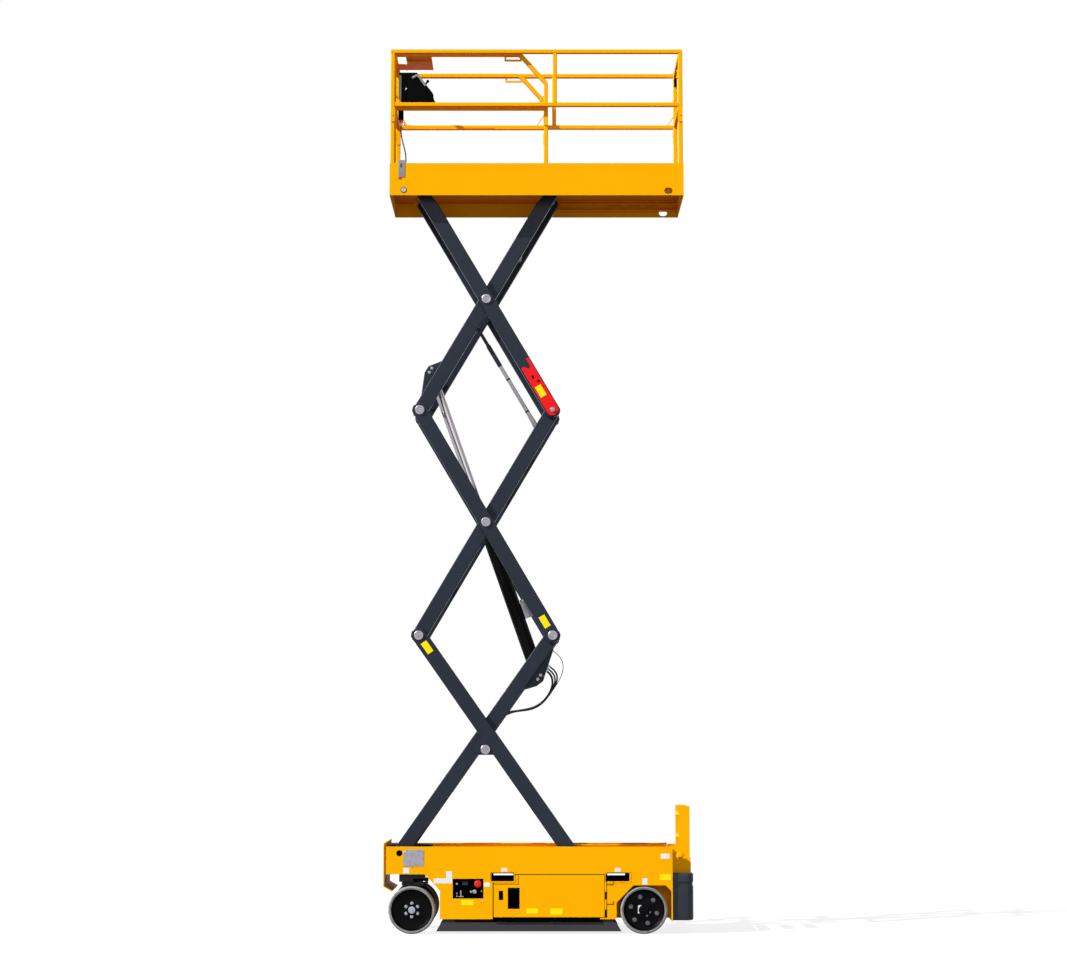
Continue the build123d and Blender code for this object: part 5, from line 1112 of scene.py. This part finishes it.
class LIFT_OT_fittings(bpy.types.Operator):
    """Blank plates, the steel plate over the axle, door trim, pocket rims, painted hinge-strap shadows and the top
    fold
    """
    bl_idname = "lift.fittings"
    bl_label = "Chassis fittings"

    def execute(self, context):
        for side, place in ((-1, "near"), (1, "far")):
            self.side, self.place, self.y, self.out = side, place, side * HALF_WIDTH, (0, side, 0)
            for name, finish, rows in FILMS:
                self.piece(name, [film(*f, self.y, side) for f in rows], finish)
            self.steel_plate()
            self.painted_gap_shade()
            self.door_trim()
            self.pocket_rims()
        for name, low, high, x in (("arm_b1", ROLLER_FOOT, LEFTS[0], None),
                                   ("arm_b2", RIGHTS[0], LEFTS[1], 0.129)):
            x = x or np.linalg.norm(high - low) - 0.120
            blank = [film(x - 0.052, x + 0.052, -0.027, 0.027, -OUTER_FACE)]
            make_piece(name + "_blank_plate", laid(blank, low, high), name, "yellow_label")
        return {"FINISHED"}

    def piece(self, name, parts, finish):
        """Piece of this side's door or of the chassis, as its name says."""
        on_door = name.startswith("door_") and name != "door_seam_lines_"
        make_piece(name + self.place, parts, "door_" + self.place if on_door else "chassis", finish)

    def dots(self, rows, n):
        """Small round heads that stand a little proud of the side."""
        return [stud(x, self.y - self.side * 0.001, z, self.out, r, 0.002, r * 0.6, 0.003, n)
                for x, z, r in rows]

    def steel_plate(self):
        corners = mm(-1084, 540, -920, 540, -920, 671, -1060, 671, -1084, 650)
        plate = [slab(rounded(corners, 0.003, 2), self.y - self.side * 0.0005,
                      self.y + self.side * 0.0022, 0.0006)]
        plate += [turned((x, self.y + self.side * 0.002, z), self.out, mm(8, 0, 7.5, 0.8, 4, 1.2), 16)
                  for x, z in mm(-1019, 624, -962, 631, -1019, 585, -970, 585)]
        self.piece("axle_cover_plate_", plate, "zinc")
        screws = mm(-1016, 529, 9, -671, 262, 6, -441, 262, 6, k=3)
        self.piece("side_screws_", self.dots(screws, 16), "dull_zinc")

    def box(self, x0, x1, z0, z1, shallow, deep, r):
        """Rounded box between two depths under the side's face."""
        return soft_box((x0, self.y - self.side * shallow, z0), (x1, self.y - self.side * deep, z1), r)

    def painted_gap_shade(self):
        """Painted shade: near-black boxes in the door's recesses, dark lines round it, a dark band under it
        and a dark disc behind the foot pin's hole.
        """
        # painted shade: near-black boxes behind the door's vent and latch openings
        dark = [self.box(-0.254, -0.143, 0.192, 0.376, 0.012, 0.020, 0.002),
                self.box(-0.326, -0.275, 0.262, 0.352, 0.012, 0.020, 0.002)]
        self.piece("door_recesses_", dark, "dark_inside")
        y, low = self.y + self.side * 0.0002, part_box("chassis_side_" + self.place)[0].z
        # painted shade: dark strips in the gaps round the door and under it, some on the chassis, some on the door
        fixed = ((-0.190, 0.540, 0.4725, 0.4765), (-0.3665, -0.3625, 0.1320, 0.4100),
                 (-0.3665, 0.492, low, 0.1320))
        moving = mm(-358.5, -160, 395, 398.5, -163.5, -160, 398.5, 469.5, 528.5, 532.5, 136, 469.5, k=4)
        for name, rows in (("door_seam_lines_", fixed), ("door_edge_lines_", moving)):
            self.piece(name, [film(*row, y, self.side, 0.0006) for row in rows], "dark_inside")
        # painted shade: a dark disc behind the foot pin's hole
        back = turned((FOOT[0], self.side * 0.344, FOOT[1]), self.out, mm(40, 0, 41, 1, 40, 3), 32)
        self.piece("foot_pin_cap_", [back], "dark_inside")

    def door_trim(self):
        """Slats and the latch in the door's recesses, its screws, and a dark L-shaped strip at each hinge
        strap, a painted shadow.
        """
        slats = [self.box(-0.247, -0.150, z, z + 0.003, 0.002, 0.013, 0.001)
                 for z in np.arange(0.206, 0.364, 0.0105)]
        slats.append(self.box(-0.309, -0.292, 0.282, 0.332, 0.002, 0.013, 0.0015))
        self.piece("door_slats_", slats, "dark_inside")
        y, side = self.y, self.side
        self.piece("door_screws_", self.dots(mm(-130, 368, 5, -191, 163, 5, k=3), 14), "dull_zinc")
        # painted shadow: thin dark L-shapes along a hinge strap's lower and right edges
        strap_shadows = [slab([(0.549, z), (0.599, z), (0.599, z + 0.026), (0.596, z + 0.026), (0.596, z + 0.0035),
                        (0.549, z + 0.0035)], y - side * 0.001, y + side * 0.003, 0.0004)
                  for z in (0.392, 0.236)]
        self.piece("hinge_straps_", strap_shadows, "dark_inside")

    def pocket_rims(self):
        """Thin rim round each fork pocket, and the rounded fold along the side plate's top edge."""
        y = self.y + self.side * 0.0005
        rims = [closed_tube(upright(oblong(x - 0.101, x + 0.101, 0.410, 0.495, 0.012), y), 0.0022)
                for x in (-0.2875, 0.638)]
        self.piece("pocket_rims_", rims, "yellow")
        lo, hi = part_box("chassis_side_" + self.place)
        y, z = self.y - self.side * 0.0045, hi.z - 0.0045
        fold = [bar((lo.x + 0.004, y, z), (hi.x - 0.004, y, z), 0.0049, 12, 0.001)]
        self.piece("side_top_fold_", fold, "yellow")


class LIFT_OT_panel_details(bpy.types.Operator):
    """Ground control panel: display, knobs, key switch and the mushroom stop"""
    bl_idname = "lift.panel_details"
    bl_label = "Ground controls"

    def execute(self, context):
        y = -HALF_WIDTH + 0.026
        face = [slab(oblong(-0.680, -0.448, 0.289, 0.432, 0.006), y - 0.003, y, 0.0008)]
        make_piece("ground_panel_face", face, "chassis", "dark_inside")
        glass = [slab(oblong(-0.612, -0.566, 0.388, 0.416, 0.003), y - 0.005, y - 0.002, 0.0008)]
        make_piece("ground_panel_display", glass, "chassis", "slate")
        keys = [turned((x, y - 0.002, z), OUT,
                       [(r, 0), (r, 0.005), (r - 0.0015, 0.0065), (r * 0.4, 0.0068)], 20)
                for x, z, r in mm(-655, 398, 9, -655, 322, 8, -655, 300, 7, -455, 340, 5, k=3)]
        keys.append(turned((-0.512, y - 0.002, 0.336), OUT,
                           mm(17, 0, 17, 8, 15, 10, 9, 10.5, 9, 17, 6, 18), 28))
        keys += [soft_box((x0, y - deep, z0), (x1, y - 0.002, z1), r) for x0, x1, z0, z1, deep, r in (
            (-0.548, -0.530, 0.326, 0.344, 0.014, 0.003), (-0.627, -0.617, 0.300, 0.346, 0.012, 0.003),
            (-0.640, -0.600, 0.292, 0.301, 0.010, 0.002))]
        make_piece("ground_panel_switches", keys, "chassis", "zinc")
        lo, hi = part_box("emergency_stop")
        c, r = (lo + hi) / 2, (hi.x - lo.x) / 2
        rows = [(r * 0.6, 0), (r * 0.6, 0.009), (r * 0.94, 0.010), (r, 0.013), (r, 0.0165),
                (r * 0.93, 0.0195), (r * 0.78, 0.0212), (r * 0.5, 0.0222), (r * 0.15, 0.0226)]
        button = [turned((c.x, hi.y, c.z), OUT, rows, 48)]
        make_piece("stop_button", button, "chassis", "red_plastic", "emergency_stop")
        return {"FINISHED"}


class LIFT_OT_ends(bpy.types.Operator):
    """Moulded rear cover, ribbed hood at the front and the yellow plugs in the ladder's lugs"""
    bl_idname = "lift.ends"
    bl_label = "Cover and hood"

    def execute(self, context):
        lo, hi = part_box("rear_cover")
        r, half = 0.055, hi.y
        a = np.radians(np.linspace(-90, 0, 7))
        right = np.stack([np.cos(a) * r, np.sin(a) * r], -1) + [hi.x - r, -half + r]
        plan = np.concatenate([[(lo.x, -half)], right, right[::-1] * [1, -1], [(lo.x, half)]])
        rows = []
        for inset, z in self.shell_steps(lo.z, hi.z):
            ring = plan.copy()
            ring[:, 1] *= (half - inset) / half
            ring[:, 0] -= inset * (ring[:, 0] > lo.x + 0.001)
            rows.append(np.column_stack([ring, np.full(len(ring), z)]))
        make_piece("rear_cover_shell", [skin(rows)], "chassis", "slate", "rear_cover", 30)
        lo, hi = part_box("front_hood")
        hood = [slab(oblong(lo.x, hi.x, hi.z - 0.028, hi.z - 0.004), lo.y, hi.y, 0.003, 2)]
        hood += [soft_box((x, lo.y + 0.010, hi.z - 0.008), (x + 0.009, hi.y - 0.010, hi.z), 0.002)
                 for x in np.arange(lo.x + 0.012, hi.x - 0.012, 0.0185)]
        x, y = hi.x - 0.004, hi.y - 0.004
        hood += both([soft_box((x - 0.030, y - 0.026, lo.z), (x, y, hi.z - 0.01), 0.001)])
        make_piece("front_hood_ribbed", hood, "chassis", "black_plastic", "front_hood")
        x, z = 1.149, 0.616
        rows = mm(30, 0, 30, 18, 26, 24, 12, 27)
        plugs = [turned((x, side * 0.250, z), (0, side, 0), rows, 28) for side in (-1, 1)]
        plugs += [bar((x, side * 0.224, z), (x, side * 0.252, z), 0.012, 16) for side in (-1, 1)]
        make_piece("ladder_lug_plugs", plugs, "chassis", "yellow")
        return {"FINISHED"}

    def shell_steps(self, z0, z1):
        """Inset and height of each ring: quarter-round rims and a groove high on the shell."""
        rim = [(0.014 * (1 - np.sin(v)), 0.014 * (1 - np.cos(v))) for v in np.linspace(0, np.pi / 2, 5)]
        groove = [(0.0, z1 - 0.104), (0.005, z1 - 0.100), (0.005, z1 - 0.076), (0.0, z1 - 0.072)]
        return [(inset, z0 + z) for inset, z in rim] + groove + [(inset, z1 - z) for inset, z in rim[::-1]]


class LIFT_OT_base(bpy.types.Operator):
    """Gives every node of the frame the finish of its material slot"""
    bl_idname = "lift.base_finishes"
    bl_label = "Base finishes"

    def execute(self, context):
        slots = {s["node"]: s["material_slot"] for s in frame["record"]["subparts"]}
        for name, node in frame["nodes"].items():
            # painted shade: the fork pockets' insides are near-black
            finish = "dark_inside" if name == "fork_pockets" else SLOT_FINISH[slots[name]]
            if name.startswith("guard_") or "_guard" in name:
                finish = "guard_paint"
            node.data.materials.clear()
            node.data.materials.append(material(finish))
        return {"FINISHED"}


# ---------------------------------------------------------------- stage
FLOOR_HALF = 60.0
CAMERA_X = -0.040
CAMERA_Z = 1.474
CAMERA_BACK = 18.7
CAMERA_TILT = 5.66
LENS = 77.94
SHIFT = 0.03
LAMPS = (
    # name, where it shines from, how wide it looks in radians
    ("key", (-3.0, -1.3, 2.6), 0.012),
    ("fill", (1.5, -9.0, 3.0), 0.6),
)


class LIFT_OT_stage(bpy.types.Operator):
    """Floor, backdrop, lamps and camera"""
    bl_idname = "lift.stage"
    bl_label = "Stage"

    def execute(self, context):
        scene, tune = context.scene, context.scene.lift_stage
        mesh = bpy.data.meshes.new("floor")
        r = FLOOR_HALF
        mesh.from_pydata([(-r, -r, 0), (r, -r, 0), (r, r, 0), (-r, r, 0)], [], [(0, 1, 2, 3)])
        floor = bpy.data.objects.new("floor", mesh)
        scene.collection.objects.link(floor)
        mesh.materials.append(self.floor_look(tune))
        self.sky(scene, tune)
        for name, place, spread in LAMPS:
            data = bpy.data.lights.new(name, "SUN")
            data.energy = getattr(tune, name)
            data.angle = spread
            lamp = bpy.data.objects.new(name, data)
            scene.collection.objects.link(lamp)
            lamp.location = place
            lamp.rotation_euler = Vector(place).to_track_quat("Z", "Y").to_euler()
        self.camera(scene)
        scene.view_settings.view_transform = "Standard"
        return {"FINISHED"}

    def sky(self, scene, tune):
        """Plain light from all round, and pure white where the camera looks past the lift."""
        world = bpy.data.worlds.new("studio")
        scene.world = world
        world.use_nodes = True
        nodes = Nodes(world.node_tree)
        level = nodes.add("MapRange", Value=nodes.backdrop_rays(), To_Min=tune.sky, To_Max=1.0).outputs[0]
        background = world.node_tree.nodes["Background"].inputs
        world.node_tree.links.new(level, background["Strength"])
        background["Color"].default_value = (1, 1, 1, 1)

    def floor_look(self, tune):
        """White floor that glows for the camera and still takes the lift's shadow."""
        look = Look("pale floor", Roughness=1.0, Specular_IOR_Level=0.0)
        shown = look.backdrop_rays()
        pale = look.blend(look.noise(3.0), (*tune.floor, 1.0), (*[c * 0.985 for c in tune.floor], 1.0))
        look.colour(look.blend(shown, linear(124, 124, 124), linear(120, 120, 120)))
        look.tree.links.new(pale, look.shader.inputs["Emission Color"])
        look.tree.links.new(look.span(shown, 0.0, 1.0, 0.0, 0.84), look.shader.inputs["Emission Strength"])
        return look.material

    def camera(self, scene):
        data = bpy.data.cameras.new("camera")
        data.lens = LENS
        data.shift_y = SHIFT
        data.sensor_width = 36.0
        data.clip_end = 300.0
        camera = bpy.data.objects.new("camera", data)
        camera.location = (CAMERA_X, -(HALF_WIDTH + CAMERA_BACK), CAMERA_Z)
        camera.rotation_euler = (np.radians(90 + CAMERA_TILT), 0, 0)
        scene.collection.objects.link(camera)
        scene.camera = camera


class LIFT_PT_panel(bpy.types.Panel):
    """Sidebar panel with the lift's sizes and its steps"""
    bl_label = "Scissor Lift"
    bl_idname = "LIFT_PT_panel"
    bl_space_type = "VIEW_3D"
    bl_region_type = "UI"
    bl_category = "Scissor Lift"

    def draw(self, context):
        for group in (context.scene.lift_sizes, context.scene.lift_stage):
            for key in group.bl_rna.properties.keys():
                if key not in ("rna_type", "name"):
                    self.layout.prop(group, key)
        for step in STEPS:
            self.layout.operator(step.bl_idname)


STEPS = (LIFT_OT_stage, LIFT_OT_hoses, LIFT_OT_base, LIFT_OT_arms, LIFT_OT_pins, LIFT_OT_cylinder,
         LIFT_OT_prop, LIFT_OT_hose_link, LIFT_OT_wheels, LIFT_OT_guardrails, LIFT_OT_gate,
         LIFT_OT_extension_rails, LIFT_OT_controls, LIFT_OT_fittings, LIFT_OT_panel_details, LIFT_OT_ends)
CLASSES = (LiftSizes, LiftStage, *STEPS, LIFT_PT_panel)


def register():
    for c in CLASSES:
        bpy.utils.register_class(c)
    bpy.types.Scene.lift_sizes = PointerProperty(type=LiftSizes)
    bpy.types.Scene.lift_stage = PointerProperty(type=LiftStage)


def unregister():
    del bpy.types.Scene.lift_stage
    del bpy.types.Scene.lift_sizes
    for c in reversed(CLASSES):
        bpy.utils.unregister_class(c)


def main():
    register()
    for step in STEPS:
        group, name = step.bl_idname.split(".")
        getattr(getattr(bpy.ops, group), name)()


if __name__ == "__main__":
    main()
